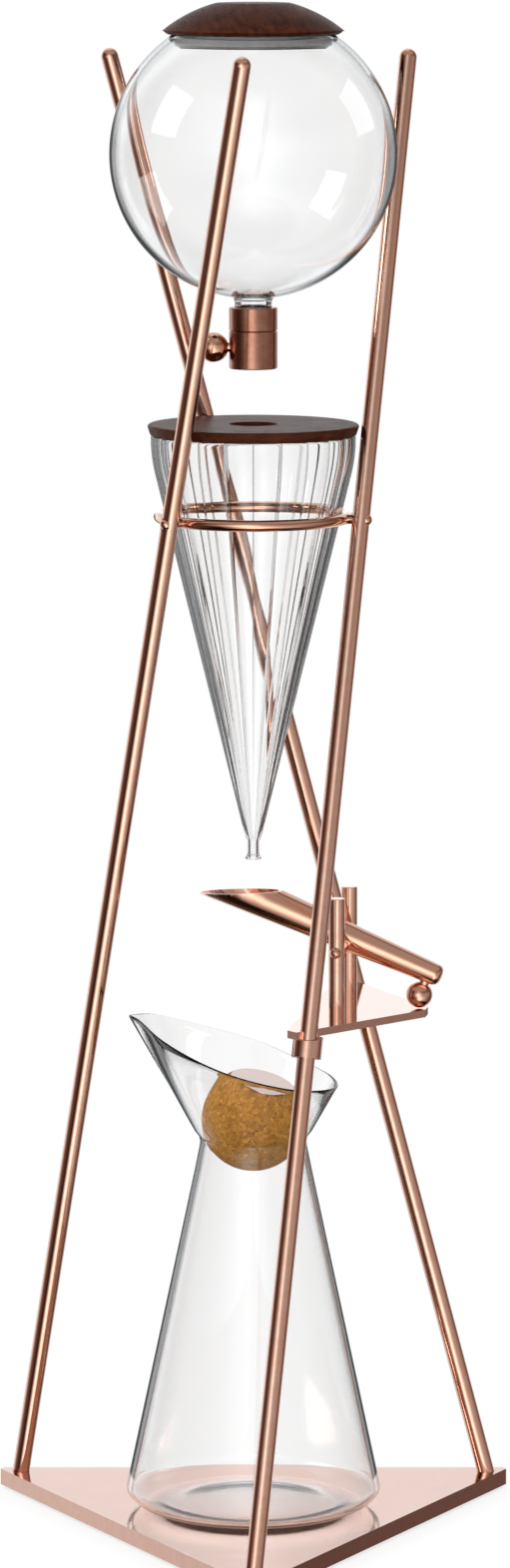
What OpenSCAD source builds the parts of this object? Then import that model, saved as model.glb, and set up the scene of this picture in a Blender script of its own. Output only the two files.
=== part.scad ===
// Cold drip coffee tower: three skewed rods cradle a globe tank over a fluted filter cone,
// a tipping tube and a spouted carafe. Millimetres, +Z up, origin on the floor under the middle.

/* [Base plate] */
// Side of the triangular base plate, measured to where its uncut corners would meet
base_side = 244; // [236:1:270]
// Thickness of the base plate
base_t = 7.5; // [7:0.5:12]
// Width of the flat cut across each corner of the base plate
base_corner_w = 3.4; // [2:0.2:6]
// Thickness of the non-slip pad under the plate
pad_t = 1.5; // [1:0.5:4]
// Distance of the pad's edge from the plate's edge
pad_inset = 3; // [2:0.5:10]

/* [Rods] */
// Diameter of the three rods
rod_d = 8; // [7:0.5:9]
// Height of the rods' round ends above the base plate
rod_h = 669; // [640:1:700]
// Distance of a rod's foot from the flat of its corner of the base plate
foot_inset = 10.43; // [9:0.01:14]
// Radius of the circle on which the rods end
rod_top_r = 78.8; // [76:0.2:86]
// Turn of a rod's top against its foot, in degrees
rod_twist = 116.4; // [112:0.2:119]
// Depth of a rod's socket in the base plate
rod_socket = 3; // [2:0.5:3]

/* [Support ring] */
// Height of the ring above the base plate
ring_h = 462.4; // [440:0.2:475]
// Radius of the ring, to the middle of its wire
ring_r = 42.9; // [41:0.1:44]
// Thickness of the ring's wire
ring_wire_d = 5.2; // [4.4:0.2:6]
// Diameter of the domed heads of the ring's screws
ring_head_d = 5.6; // [5:0.2:6.4]
// Height of the domed heads
ring_head_h = 2.2; // [1.6:0.1:2.6]

/* [Shelf] */
// Height of the shelf's top above the base plate
shelf_h = 237.5; // [225:0.5:245]
// Thickness of the shelf
shelf_t = 3.5; // [3:0.25:5]
// Reach of the shelf's blunt tip beyond the line between its two rods
shelf_reach = 43.6; // [42:0.2:60]
// Width of the shelf's blunt tip
shelf_tip_w = 8; // [6:0.5:14]
// Depth of the shelf on the inner side of its two rods
shelf_back = 9.5; // [7:0.5:12]
// Length of the shelf's ears past the two rods
shelf_ear = 8; // [7.5:0.5:11]
// Outer diameter of the collars that carry the shelf
collar_d = 13.4; // [12.4:0.2:18]
// Length of the collars
collar_len = 9; // [7:0.5:16]

/* [Tipping tube] */
// Diameter of the two posts
post_d = 7.4; // [6:0.2:9]
// Height of the posts above the shelf
post_h = 52.6; // [46:0.2:60]
// Distance between the middles of the two posts
post_span = 34.7; // [31:0.1:38]
// Distance of the posts from the tower's middle
post_reach = 41.8; // [39:0.2:44]
// Height of the axle above the shelf
axle_h = 27.9; // [27.6:0.1:34]
// Diameter of the axle
axle_d = 4; // [3:0.25:4.5]
// Outer diameter of the sleeve that turns on the axle
sleeve_d = 6.4; // [6:0.2:7.4]
// Length of the tube on the mouth side of the axle
tube_front = 70.2; // [60:0.2:75]
// Length of the tube on the tail side of the axle
tube_back = 47.2; // [47:0.2:52]
// Diameter of the tube at its mouth
tube_mouth_d = 18; // [15:0.2:20]
// Diameter of the tube at its tail
tube_tail_d = 9.8; // [8.8:0.2:10.4]
// Wall of the tube
tube_wall = 0.8; // [0.6:0.1:1.2]
// Height of the tube's middle line over the axle, square to the tube
tube_over_axle = 4.7; // [4.7:0.1:6]
// Slope of the tube at rest, in degrees below level
tube_slope = 21.9; // [20:0.1:21.9]
// Angle of the cut at the mouth against the tube, in degrees
mouth_cut = 24.6; // [22:0.2:32]
// Diameter of the striker ball
striker_d = 12; // [9:0.2:12]
// Place of the striker ball along the tube, from the axle
striker_place = 41; // [38:0.2:42]

/* [Tank] */
// Outer diameter of the glass globe
tank_d = 130.4; // [124:0.2:131]
// Wall of the glass globe
tank_wall = 2; // [1.6:0.1:3]
// Diameter of the globe's mouth
tank_mouth_d = 71.6; // [60:0.2:74]
// Outer diameter of the globe's neck
tank_neck_d = 16.7; // [14:0.1:17]
// Bore of the globe's neck
tank_neck_bore = 12; // [6:0.5:12.5]
// Visible length of the neck between globe and valve
tank_neck_h = 3.8; // [2:0.2:8]
// Diameter of the tank lid
lid_d = 80.4; // [78:0.2:88]
// Height of the tank lid above the globe's mouth
lid_h = 14.2; // [10:0.2:15]
// Depth to which the lid's plug drops into the mouth
lid_plug_h = 6.5; // [6:0.5:12]

/* [Valve] */
// Outer diameter of the valve and its union nut
valve_d = 21.9; // [21.8:0.1:26]
// Height of the union nut
nut_h = 10.6; // [9.8:0.1:14]
// Height of the valve body below the nut
valve_h = 17.2; // [16:0.1:22]
// Diameter of the ball knob
knob_d = 13.6; // [10:0.2:13.8]
// Distance of the ball knob from the valve's middle
knob_reach = 18; // [17.8:0.2:24]
// Diameter of the knob's stem
knob_stem_d = 4.5; // [4:0.1:5]
// Bore of the drip outlet
outlet_d = 2.4; // [1.6:0.1:2.6]

/* [Filter] */
// Half angle of the filter cone, in degrees
filter_angle = 13.8; // [13:0.1:14.4]
// Height of the filter from the cone's point to its rim
filter_top = 200; // [194:0.5:204]
// Radius of the shoulder that turns the cone upright
filter_shoulder_r = 67; // [40:1:80]
// Wall of the filter's glass
filter_wall = 1.8; // [1.4:0.1:2.2]
// Number of lobes round the filter
lobes = 22; // [16:1:24]
// Depth of the creases between the lobes, as a share of the radius
crease_share = 0.026; // [0.01:0.002:0.034]
// Outer diameter of the drip neck
drip_d = 5.5; // [5:0.1:6.5]
// Height of the drip neck's end above the cone's point
drip_end = 4.8; // [3:0.2:8]
// Diameter of the small bead at the end of the drip neck
drip_bead_d = 7.3; // [6.6:0.1:8]
// Diameter of the filter lid
filter_lid_d = 96.4; // [95:0.2:104]
// Thickness of the filter lid
filter_lid_t = 4.8; // [3:0.2:7]
// Diameter of the drip hole in the filter lid
lid_hole_d = 21.8; // [12:0.2:30]

/* [Carafe] */
// Widest diameter of the carafe
carafe_d = 117.8; // [108:0.2:118]
// Height of the carafe's waist
waist_h = 173.2; // [165:0.2:176]
// Outer diameter of the waist
waist_d = 49.2; // [46:0.2:51]
// Wall of the carafe's glass
carafe_wall = 2.2; // [1.8:0.1:3]
// Thickness of the carafe's floor
carafe_floor = 4.2; // [3:0.2:7]
// Radius of the rounding at the carafe's foot
carafe_foot_r = 9.5; // [7:0.5:12]
// Half angle of the pouring funnel, in degrees
funnel_angle = 29.5; // [26:0.5:30]
// Height of the lip's tip
lip_h = 231.8; // [222:0.2:232]
// Slope of the rim from the lip down to the back, in degrees
rim_slope = 18.4; // [12:0.2:20]
// Sag of the rim below the straight line from lip to back
rim_sag = 2; // [1:0.1:4]
// Direction in which the lip points, in degrees
lip_turn = 180; // [170:1:190]

/* [Stopper] */
// Diameter of the cork ball
cork_d = 48; // [46:0.2:50]
// Diameter of the metal disc on the cork ball
disc_d = 31; // [24:0.2:34]
// Thickness of the metal disc
disc_t = 1.2; // [0.8:0.1:2]
// Lean of the stopper as it lies in the funnel, in degrees
cork_lean = 18; // [0:1:25]
// Direction of that lean, in degrees
cork_turn = -38; // [-90:1:90]

/* [Hidden] */

$fn = 96;
small_fn = 48;
eps = 0.01;
far = 400;

// Clearances
seat_gap = 0.25;     // between a loose glass piece and the metal that carries it
fit = 0.1;           // round a rod, pin or screw in its hole
thread_fit = 0.05;   // round a screw in its tapped hole
run_gap = 0.5;       // at each end of the sleeve, beside the posts
metal_gap = 0.05;    // between two faces that are brazed or bonded

// A leaning round cut is turned on its own axis by this, so that its seam crosses no edge.
seam_turn = 77;

// Colours
copper = [0.80, 0.52, 0.40];
dark_copper = [0.62, 0.36, 0.28];
glass = [0.85, 0.90, 0.92, 0.35];
walnut = [0.35, 0.20, 0.15];
cork = [0.65, 0.45, 0.22];
rubber = [0.18, 0.18, 0.18];
silicone = [0.75, 0.75, 0.75];

// Base plate
deck = pad_t + base_t;
rod_az = [150, 270, 30];
base_cut_r = base_side / sqrt(3) - base_corner_w / (2 * tan(30));
pad_cut_r = base_cut_r - 2 * pad_inset;

// Rods
rod_r = rod_d / 2;
rod_foot_r = base_cut_r - foot_inset;
function spot(r, a, z) = [r * cos(a), r * sin(a), z];
function rod_foot(i) = spot(rod_foot_r, rod_az[i], deck);
function rod_end(i) = spot(rod_top_r, rod_az[i] + rod_twist, deck + rod_h);
function rod_at(i, h) = rod_foot(i) + (rod_end(i) - rod_foot(i)) * h / rod_h;
function plan(p) = [p[0], p[1]];
function azimuth(p) = atan2(p[1], p[0]);
rod_run = rod_end(0) - rod_foot(0);
rod_len = norm(rod_run);
rod_lean = acos(rod_h / rod_len);
function rod_dir(i) = azimuth(rod_end(i) - rod_foot(i));
foot_screw_d = 4;
foot_screw_len = 12;
foot_screw_head_d = 7;
foot_screw_head_h = 1.8;
foot_screw_web = 1.5;
socket_d = 2.5;
socket_depth = 1.2;

// Support ring
ring_screw_d = 3;
boss_d = ring_wire_d - 0.8;
ring_screw_end = ring_r - 1;
function rod_out(h) = norm(plan(rod_at(0, h)));
ring_rod_r = rod_out(ring_h);
ring_seat_r = ring_rod_r + sqrt(pow(rod_r, 2) - pow(ring_head_d / 2, 2));
ring_az = [for (i = [0:2]) azimuth(rod_at(i, ring_h))];

// Shelf, laid out from the line between the front rod and the right rod
FRONT = 1;
RIGHT = 2;
shelf_a = plan(rod_at(FRONT, shelf_h));
shelf_b = plan(rod_at(RIGHT, shelf_h));
shelf_mid = (shelf_a + shelf_b) / 2;
shelf_half = norm(shelf_b - shelf_a) / 2;
shelf_turn = azimuth(shelf_b - shelf_a) - 90;
shelf_z = deck + shelf_h;
collar_top = (shelf_h - shelf_t) / cos(rod_lean);
edge_run = [shelf_reach, shelf_half - shelf_tip_w / 2];
edge_unit = edge_run / norm(edge_run);
heel_share = 0.25;
grub_d = 3;
grub_socket_d = 1.5;
grub_socket_depth = 1.2;
grub_drop = collar_len / 2 + 1;

// Posts, axle and tipping tube
post_out = post_reach - norm(shelf_mid);
post_screw_d = 4;
post_screw_len = 9;
post_screw_head_d = 7;
post_screw_head_h = 2;
post_edge = 0.3;
cap_d = 5.2;
cap_h = 1.9;
axle_r = axle_d / 2;
post_face = post_span / 2 + post_d / 2;
sleeve_len = post_span - post_d - 2 * run_gap;
tube_len = tube_front + tube_back;
tube_mouth_r = tube_mouth_d / 2;
tube_tail_r = tube_tail_d / 2;
tube_end_r = 3.2;
tube_end_t = 1.2;
tube_taper = (tube_mouth_r - tube_tail_r) / tube_len;
function tube_r(x) = tube_mouth_r - (x + tube_front) * tube_taper;
partition_x = -(sleeve_d / 2 + 4);
striker_stem_root = 2.4;
partition_t = 1.2;
striker_r = striker_d / 2;
striker_stem_d = 4.4;
// The ball hangs square to the tube until it all but meets the shelf.
striker_drop = (axle_h - seat_gap - striker_r - striker_place * sin(tube_slope)) / cos(tube_slope);

// Tank: the globe sinks between the rods until it rests on all three
tank_r = tank_d / 2;
lean_unit = rod_run / rod_len;
lean_in = -(plan(rod_foot(0)) * plan(lean_unit));
cradle_r = tank_r + rod_r + seat_gap;
quad_a = 1 - pow(lean_unit[2], 2);
quad_b = -2 * lean_in * lean_unit[2];
quad_c = pow(rod_foot_r, 2) - pow(lean_in, 2) - pow(cradle_r, 2);
tank_h = (-quad_b + sqrt(pow(quad_b, 2) - 4 * quad_a * quad_c)) / (2 * quad_a);
tank_z = deck + tank_h;
mouth_r = tank_mouth_d / 2;
mouth_rim = 1;
mouth_z = sqrt(pow(tank_r, 2) - pow(mouth_r + mouth_rim, 2));
lid_sphere_r = tank_r - 0.4;
lid_edge = 1.2;
lid_edge_in = 1.6;
lid_flat_r = 16.4;
seal_groove = 1;
seal_fit = 0.4;
plug_r = mouth_r - 2.8;
seal_r = mouth_r - 0.5;
seal_h = 4;
seal_drop = 2;

// Valve, measured down from the middle of the globe
valve_r = valve_d / 2;
neck_r = tank_neck_d / 2;
neck_fillet = 0.5;
nut_top = -(sqrt(pow(tank_r, 2) - pow(neck_r, 2)) + tank_neck_h + neck_fillet);
nut_lip = 2;
nut_wall = 1.35;
thread_r = valve_r - nut_wall;
flange_r = thread_r - 3 * fit;
flange_t = 2;
flange_top = nut_top - nut_lip - metal_gap;
gasket_t = 1.5;
nut_bottom = nut_top - nut_h;
valve_bottom = nut_bottom - valve_h;
knob_share = 0.44;
knob_z = nut_bottom - valve_h * knob_share;
knob_stem_r = knob_stem_d / 2;
knob_stem_in = 4.6;
needle_d = 1.9;
needle_travel = 0.8;
knob_room = 1;
needle_len = 9;
needle_point = 1.4;
needle_over = 0.5;
needle_tip = -outlet_d / 2 - needle_over;
needle_end = needle_tip + needle_point + needle_len;
oring_wire = 1;
oring_x = valve_r - 3;
valve_edge = 0.4;

// Filter, measured up from the cone's point
ring_wire_r = ring_wire_d / 2;
cone_k = tan(filter_angle);
shoulder_edge = 2;
filter_point = deck + ring_h - (ring_r - (ring_wire_r + seat_gap) / cos(filter_angle)) / cone_k;
shoulder_end = filter_top - shoulder_edge;
shoulder_start = shoulder_end - filter_shoulder_r * sin(filter_angle);
shoulder_mid_r = cone_k * shoulder_start - filter_shoulder_r * cos(filter_angle);
cone_end = 16.8;
drip_start = 13;
drip_r = drip_d / 2;
bead_r = drip_bead_d / 2;
bead_t = 1;
drip_bore_r = 1.5;
shoulder_steps = 4;
lobe_steps = 6;
function shoulder_r(h) = shoulder_mid_r + sqrt(pow(filter_shoulder_r, 2) - pow(shoulder_end - h, 2));
shoulder_down = [for (j = [shoulder_steps:-1:0])
  shoulder_start + (shoulder_end - shoulder_start) * j / shoulder_steps];
rim_r = shoulder_r(shoulder_end);
filter_lid_z = filter_point + filter_top + metal_gap;
spigot_h = 1;

// Carafe
carafe_r = carafe_d / 2;
carafe_z = deck + metal_gap;
waist_r = waist_d / 2;
body_lean = atan((carafe_r - waist_r) / (waist_h - carafe_foot_r));
funnel_k = tan(funnel_angle);
lip_r = waist_r + (lip_h - waist_h) * funnel_k;
waist_blend = 1;
rim_k = tan(rim_slope) * funnel_k;
rim_span = lip_r * (1 + (1 - rim_k) / (1 + rim_k)) / cos(rim_slope);
rim_arc_r = (pow(rim_span / 2, 2) + pow(rim_sag, 2)) / (2 * rim_sag);

// Stopper
cork_r = cork_d / 2;
waist_in_r = waist_r - carafe_wall;
// The ball rests on the upper edge of the waist's narrowest band.
cork_z = carafe_z + waist_h + waist_blend / 2 + sqrt(pow(cork_r + seat_gap, 2) - pow(waist_in_r, 2));
facet = sqrt(pow(cork_r, 2) - pow(disc_d / 2, 2));

// ---------------------------------------------------------------- shared shapes

// Puts its children on rod i, with +Z along the rod and zero at the plate's top.
module along_rod(i) {
  translate(rod_foot(i)) rotate([0, rod_lean, rod_dir(i)]) children();
}

// A plain rod without its ends, longer than the real one, to cut holes with.
module rod_cutter(i, gap) {
  along_rod(i) rotate([0, 0, seam_turn]) translate([0, 0, -far / 2])
    cylinder(r = rod_r + gap, h = rod_len + far);
}

// Puts its children at a height on the radius that crosses rod i, with +Z outward.
module on_ring_radius(i) {
  translate([0, 0, deck + ring_h]) rotate([0, 90, ring_az[i]]) children();
}

// The shelf's own frame: X outward, Y from the front rod to the right rod, zero on its top.
module shelf_frame() {
  translate([shelf_mid[0], shelf_mid[1], shelf_z]) rotate([0, 0, shelf_turn]) children();
}

// The axle's frame, with +Z along the axle.
module axle_frame() {
  shelf_frame() translate([post_out, 0, axle_h]) rotate([-90, 0, 0]) children();
}

// The tipping tube's frame: X toward its tail, zero on the axle.
module tube_frame() {
  shelf_frame() translate([post_out, 0, axle_h]) rotate([0, tube_slope, 0]) children();
}

// Puts its children on the tube's middle line, with +Z toward the tail.
module on_tube_line() {
  translate([0, 0, tube_over_axle]) rotate([0, 90, 0]) children();
}

module tank_frame() {
  translate([0, 0, tank_z]) children();
}

// The knob's axis: +Z from the valve's middle toward the knob.
module knob_frame() {
  tank_frame() translate([0, 0, knob_z]) rotate([0, -90, 0]) children();
}

module stopper_frame() {
  translate([0, 0, cork_z]) rotate([0, cork_lean, cork_turn]) children();
}

// A low dome with a flat underside at zero.
module dome(d, h) {
  ball_r = (pow(d / 2, 2) + pow(h, 2)) / (2 * h);
  intersection() {
    translate([0, 0, h - ball_r]) sphere(r = ball_r, $fn = small_fn);
    cylinder(d = d, h = h, $fn = small_fn);
  }
}

// An equal-sided triangle with a flat of width w cut across each corner, r from the middle.
module blunt_triangle(r, w) {
  polygon([for (a = rod_az, side = [-1, 1])
    [r * cos(a) - side * w / 2 * sin(a), r * sin(a) + side * w / 2 * cos(a)]]);
}

// ---------------------------------------------------------------- stand

module base_plate() {
  color(copper) difference() {
    translate([0, 0, pad_t]) linear_extrude(base_t) blunt_triangle(base_cut_r, base_corner_w);
    for (i = [0:2]) along_rod(i) rotate([0, 0, seam_turn]) rod_seat();
  }
}

// The stepped hole for a rod's foot, its screw and the screw's head, along the rod's own axis.
module rod_seat() {
  reach = 3 * base_t;
  head_r = foot_screw_head_d / 2 + 3 * fit;
  shank_r = foot_screw_d / 2 + fit;
  seat = rod_socket + foot_screw_web;
  rotate_extrude() polygon([
    [0, -reach], [head_r, -reach], [head_r, -seat], [shank_r, -seat],
    [shank_r, -rod_socket], [rod_r + fit, -rod_socket], [rod_r + fit, reach], [0, reach]
  ]);
}

module base_pad() {
  color(rubber) linear_extrude(pad_t - metal_gap) blunt_triangle(pad_cut_r, base_corner_w);
}

module rod_screws() {
  seat = rod_socket + foot_screw_web;
  color(dark_copper) for (i = [0:2]) along_rod(i) {
    translate([0, 0, -seat - foot_screw_head_h]) difference() {
      cylinder(d = foot_screw_head_d, h = foot_screw_head_h - metal_gap, $fn = small_fn);
      translate([0, 0, -eps]) cylinder(d = socket_d, h = socket_depth, $fn = 6);
    }
    translate([0, 0, -seat - foot_screw_head_h / 2])
      cylinder(d = foot_screw_d - 2 * thread_fit, h = foot_screw_len, $fn = small_fn);
  }
}

module rod(i) {
  bore = foot_screw_len - foot_screw_web - rod_socket;
  color(copper) difference() {
    along_rod(i) {
      translate([0, 0, -rod_socket + metal_gap])
        cylinder(r = rod_r, h = rod_len + rod_socket - metal_gap);
      translate([0, 0, rod_len]) sphere(r = rod_r);
    }
    along_rod(i) translate([0, 0, -far / 4])
      cylinder(d = foot_screw_d, h = far / 4 + bore, $fn = small_fn);
    on_ring_radius(i) {
      cylinder(d = ring_screw_d + 2 * fit, h = 2 * ring_rod_r, $fn = small_fn);
      translate([0, 0, ring_seat_r])
        cylinder(d = ring_head_d + 2 * fit, h = ring_rod_r, $fn = small_fn);
    }
  }
}

module left_rod() {
  rod(0);
}

module front_rod() {
  rod(1);
}

module right_rod() {
  rod(2);
}

module support_ring() {
  color(copper) difference() {
    union() {
      translate([0, 0, deck + ring_h]) rotate_extrude() translate([ring_r, 0])
        circle(r = ring_wire_r, $fn = small_fn);
      for (i = [0:2]) on_ring_radius(i) translate([0, 0, ring_r])
        cylinder(d = boss_d, h = ring_rod_r - ring_r, $fn = small_fn);
    }
    for (i = [0:2]) {
      rod_cutter(i, metal_gap);
      on_ring_radius(i) translate([0, 0, ring_screw_end])
        cylinder(d = ring_screw_d, h = ring_rod_r, $fn = small_fn);
    }
  }
}

module ring_screws() {
  tip = ring_screw_end + 2 * fit;
  color(copper) for (i = [0:2]) on_ring_radius(i) {
    translate([0, 0, ring_seat_r + metal_gap]) dome(ring_head_d, ring_head_h);
    translate([0, 0, tip])
      cylinder(d = ring_screw_d - 2 * thread_fit, h = ring_seat_r - tip + ring_head_h / 2,
        $fn = small_fn);
  }
}

// ---------------------------------------------------------------- shelf

module shelf_outline() {
  ear = [-shelf_ear * edge_unit[0], shelf_half + shelf_ear * edge_unit[1]];
  heel = shelf_half + heel_share * shelf_ear;
  tip = shelf_tip_w / 2;
  polygon([
    [-shelf_back, -heel], [ear[0], -ear[1]], [shelf_reach, -tip],
    [shelf_reach, tip], [ear[0], ear[1]], [-shelf_back, heel]
  ]);
}

module shelf_plate() {
  color(copper) difference() {
    shelf_frame() translate([0, 0, -shelf_t]) linear_extrude(shelf_t) shelf_outline();
    for (i = [FRONT, RIGHT]) rod_cutter(i, fit);
    for (side = [-1, 1])
      shelf_frame() translate([post_out, side * post_span / 2, -shelf_t - eps]) {
        cylinder(d = post_screw_d + 2 * fit, h = shelf_t + 2 * eps, $fn = small_fn);
        cylinder(d1 = post_screw_head_d + 2 * fit, d2 = post_screw_d,
          h = post_screw_head_h + fit, $fn = small_fn);
      }
  }
}

module collar(i) {
  bore_r = rod_r + metal_gap;
  color(copper) difference() {
    along_rod(i) translate([0, 0, collar_top - collar_len]) rotate([0, 0, seam_turn])
      rotate_extrude() translate([bore_r, 0]) square([collar_d / 2 - bore_r, 2 * collar_len]);
    translate([-far, -far, shelf_z - shelf_t]) cube([2 * far, 2 * far, far]);
    grub_frame(i) cylinder(d = grub_d, h = collar_d, $fn = small_fn);
  }
}

// The grub screws face the tower's middle, with +Z outward from the rod.
module grub_frame(i) {
  turn = azimuth(-rod_at(i, shelf_h)) - rod_dir(i);
  along_rod(i) translate([0, 0, collar_top - grub_drop]) rotate([0, 90, turn]) children();
}

module front_collar() {
  collar(FRONT);
}

module rear_collar() {
  collar(RIGHT);
}

module collar_screws() {
  color(dark_copper) for (i = [FRONT, RIGHT]) grub_frame(i) difference() {
    translate([0, 0, rod_r + metal_gap])
      cylinder(d = grub_d - 2 * thread_fit, h = collar_d / 2 - rod_r - 2 * fit, $fn = small_fn);
    translate([0, 0, collar_d / 2 - grub_socket_depth])
      cylinder(d = grub_socket_d, h = collar_d, $fn = 6);
  }
}

// ---------------------------------------------------------------- tipping tube

module post(side) {
  color(copper) difference() {
    shelf_frame() translate([post_out, side * post_span / 2, 0]) {
      cylinder(d = post_d, h = post_h - post_edge);
      translate([0, 0, post_h - post_edge])
        cylinder(d1 = post_d, d2 = post_d - 2 * post_edge, h = post_edge);
    }
    axle_frame() translate([0, 0, -far / 2])
      cylinder(r = axle_r + thread_fit, h = far, $fn = small_fn);
    shelf_frame() translate([post_out, side * post_span / 2, -eps])
      cylinder(d = post_screw_d, h = post_screw_len, $fn = small_fn);
  }
}

module front_post() {
  post(-1);
}

module rear_post() {
  post(1);
}

module post_screws() {
  color(dark_copper) for (side = [-1, 1])
    shelf_frame() translate([post_out, side * post_span / 2, -shelf_t]) difference() {
      union() {
        cylinder(d1 = post_screw_head_d, d2 = post_screw_d - 2 * fit, h = post_screw_head_h,
          $fn = small_fn);
        cylinder(d = post_screw_d - 2 * thread_fit, h = post_screw_len, $fn = small_fn);
      }
      translate([0, 0, -eps]) cylinder(d = socket_d, h = socket_depth, $fn = 6);
    }
}

// The axle's domed head is at the front post, and its turned-down end takes the cap.
module axle_pin() {
  color(copper) axle_frame() {
    translate([0, 0, -post_face - metal_gap]) rotate([180, 0, 0]) dome(cap_d, cap_h);
    translate([0, 0, -post_face - cap_h / 2])
      cylinder(r = axle_r, h = 2 * post_face + cap_h / 2, $fn = small_fn);
    translate([0, 0, post_face - eps]) cylinder(d = axle_d / 2, h = cap_h / 2, $fn = small_fn);
  }
}

module axle_cap() {
  color(copper) axle_frame() translate([0, 0, post_face + metal_gap]) difference() {
    dome(cap_d, cap_h);
    translate([0, 0, -eps])
      cylinder(d = axle_d / 2 + 2 * thread_fit, h = cap_h / 2 + thread_fit, $fn = small_fn);
  }
}

// Half of the tube's section, from the mouth at start_x to the round tail at end_x.
module tube_section(shrink, start_x, end_x) {
  corner = tube_end_r - shrink;
  shoulder = end_x - corner;
  edge = tube_r(shoulder) - shrink;
  polygon([
    [0, start_x], [tube_r(start_x) - shrink, start_x], [edge, shoulder],
    [edge - corner, end_x], [0, end_x]
  ]);
  intersection() {
    translate([edge - corner, shoulder]) circle(r = corner, $fn = small_fn);
    translate([0, shoulder]) square([edge, corner]);
  }
}

module tipping_tube() {
  lip = tube_mouth_r - tube_over_axle - tube_wall;
  color(copper) tube_frame() difference() {
    on_tube_line() rotate_extrude() tube_section(0, -tube_front, tube_back);
    on_tube_line() rotate_extrude() tube_section(tube_wall, -tube_front - 1, tube_back - tube_end_t);
    translate([-tube_front, -far / 2, -lip]) rotate([0, -mouth_cut, 0]) translate([-far / 4, 0, 0])
      cube([far, far, far / 4]);
    rotate([90, 0, 0]) cylinder(d = sleeve_d + 2 * metal_gap, h = far, center = true);
    translate([striker_place, 0, -far / 4 + tube_over_axle])
      cylinder(d = striker_stem_d + 2 * metal_gap, h = far / 4, $fn = small_fn);
  }
}

module pivot_sleeve() {
  color(copper) tube_frame() rotate([90, 0, 0]) difference() {
    cylinder(d = sleeve_d, h = sleeve_len, center = true);
    cylinder(r = axle_r + fit, h = far, center = true);
  }
}

// The partition keeps the water in the mouth end, clear of the axle.
module tube_partition() {
  r = tube_r(partition_x) - tube_wall - metal_gap;
  color(dark_copper) tube_frame() on_tube_line() translate([0, 0, partition_x - partition_t])
    cylinder(r1 = r + partition_t * tube_taper, r2 = r, h = partition_t);
}

module striker_ball() {
  stem_top = tube_over_axle - tube_r(striker_place) + striker_stem_root;
  color(copper) tube_frame() translate([striker_place, 0, 0]) {
    translate([0, 0, -striker_drop]) sphere(r = striker_r);
    translate([0, 0, -striker_drop])
      cylinder(d = striker_stem_d, h = striker_drop + stem_top, $fn = small_fn);
  }
}

// ---------------------------------------------------------------- tank

module tank_globe() {
  neck_bottom = flange_top - flange_t;
  color(glass) tank_frame() difference() {
    union() {
      sphere(r = tank_r);
      translate([0, 0, neck_bottom]) cylinder(r = neck_r, h = -neck_bottom - tank_r / 2);
      translate([0, 0, neck_bottom]) cylinder(r = flange_r, h = flange_t);
    }
    sphere(r = tank_r - tank_wall);
    translate([0, 0, neck_bottom - 1]) cylinder(d = tank_neck_bore, h = -neck_bottom);
    translate([0, 0, tank_r / 2]) cylinder(r = mouth_r, h = tank_r);
    translate([-tank_d, -tank_d, mouth_z]) cube([2 * tank_d, 2 * tank_d, tank_d]);
  }
}

module tank_lid() {
  edge_r = lid_d / 2;
  seat = mouth_z + metal_gap;
  color(walnut) tank_frame() translate([0, 0, seat]) difference() {
    rotate_extrude() union() {
      intersection() {
        translate([0, lid_h - sqrt(pow(lid_sphere_r, 2) - pow(lid_flat_r, 2))])
          circle(r = lid_sphere_r, $fn = 4 * $fn);
        polygon([[0, 0], [edge_r - lid_edge_in, 0], [edge_r, lid_edge], [edge_r, lid_h], [0, lid_h]]);
      }
      translate([0, -lid_plug_h]) square([plug_r, lid_plug_h + eps]);
    }
    translate([0, 0, -seal_drop - seal_h]) rotate_extrude() translate([plug_r - seal_groove, 0])
      square([2 * seal_groove, seal_h]);
  }
}

module lid_seal() {
  seat = mouth_z + metal_gap - seal_drop - seal_h;
  root = plug_r - seal_groove + metal_gap;
  color(silicone) tank_frame() translate([0, 0, seat]) rotate_extrude()
    translate([root, metal_gap]) union() {
      square([seal_r - seal_groove - root - seal_fit, seal_h - 2 * metal_gap]);
      translate([0, seal_h / 5]) square([seal_r - root, seal_h * 3 / 5]);
    }
}

// ---------------------------------------------------------------- valve

module union_nut() {
  color(copper) tank_frame() translate([0, 0, nut_bottom]) rotate_extrude() polygon([
    [neck_r + seat_gap, nut_h - nut_lip], [neck_r + seat_gap, nut_h], [valve_r - valve_edge, nut_h],
    [valve_r, nut_h - valve_edge], [valve_r, valve_edge], [valve_r - valve_edge, metal_gap],
    [thread_r, metal_gap], [thread_r, nut_h - nut_lip]
  ]);
}

module valve_gasket() {
  color(silicone) tank_frame() translate([0, 0, flange_top - flange_t - gasket_t]) difference() {
    cylinder(r = flange_r, h = gasket_t - metal_gap);
    translate([0, 0, -1]) cylinder(d = tank_neck_bore - 1, h = gasket_t + 2);
  }
}

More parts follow.
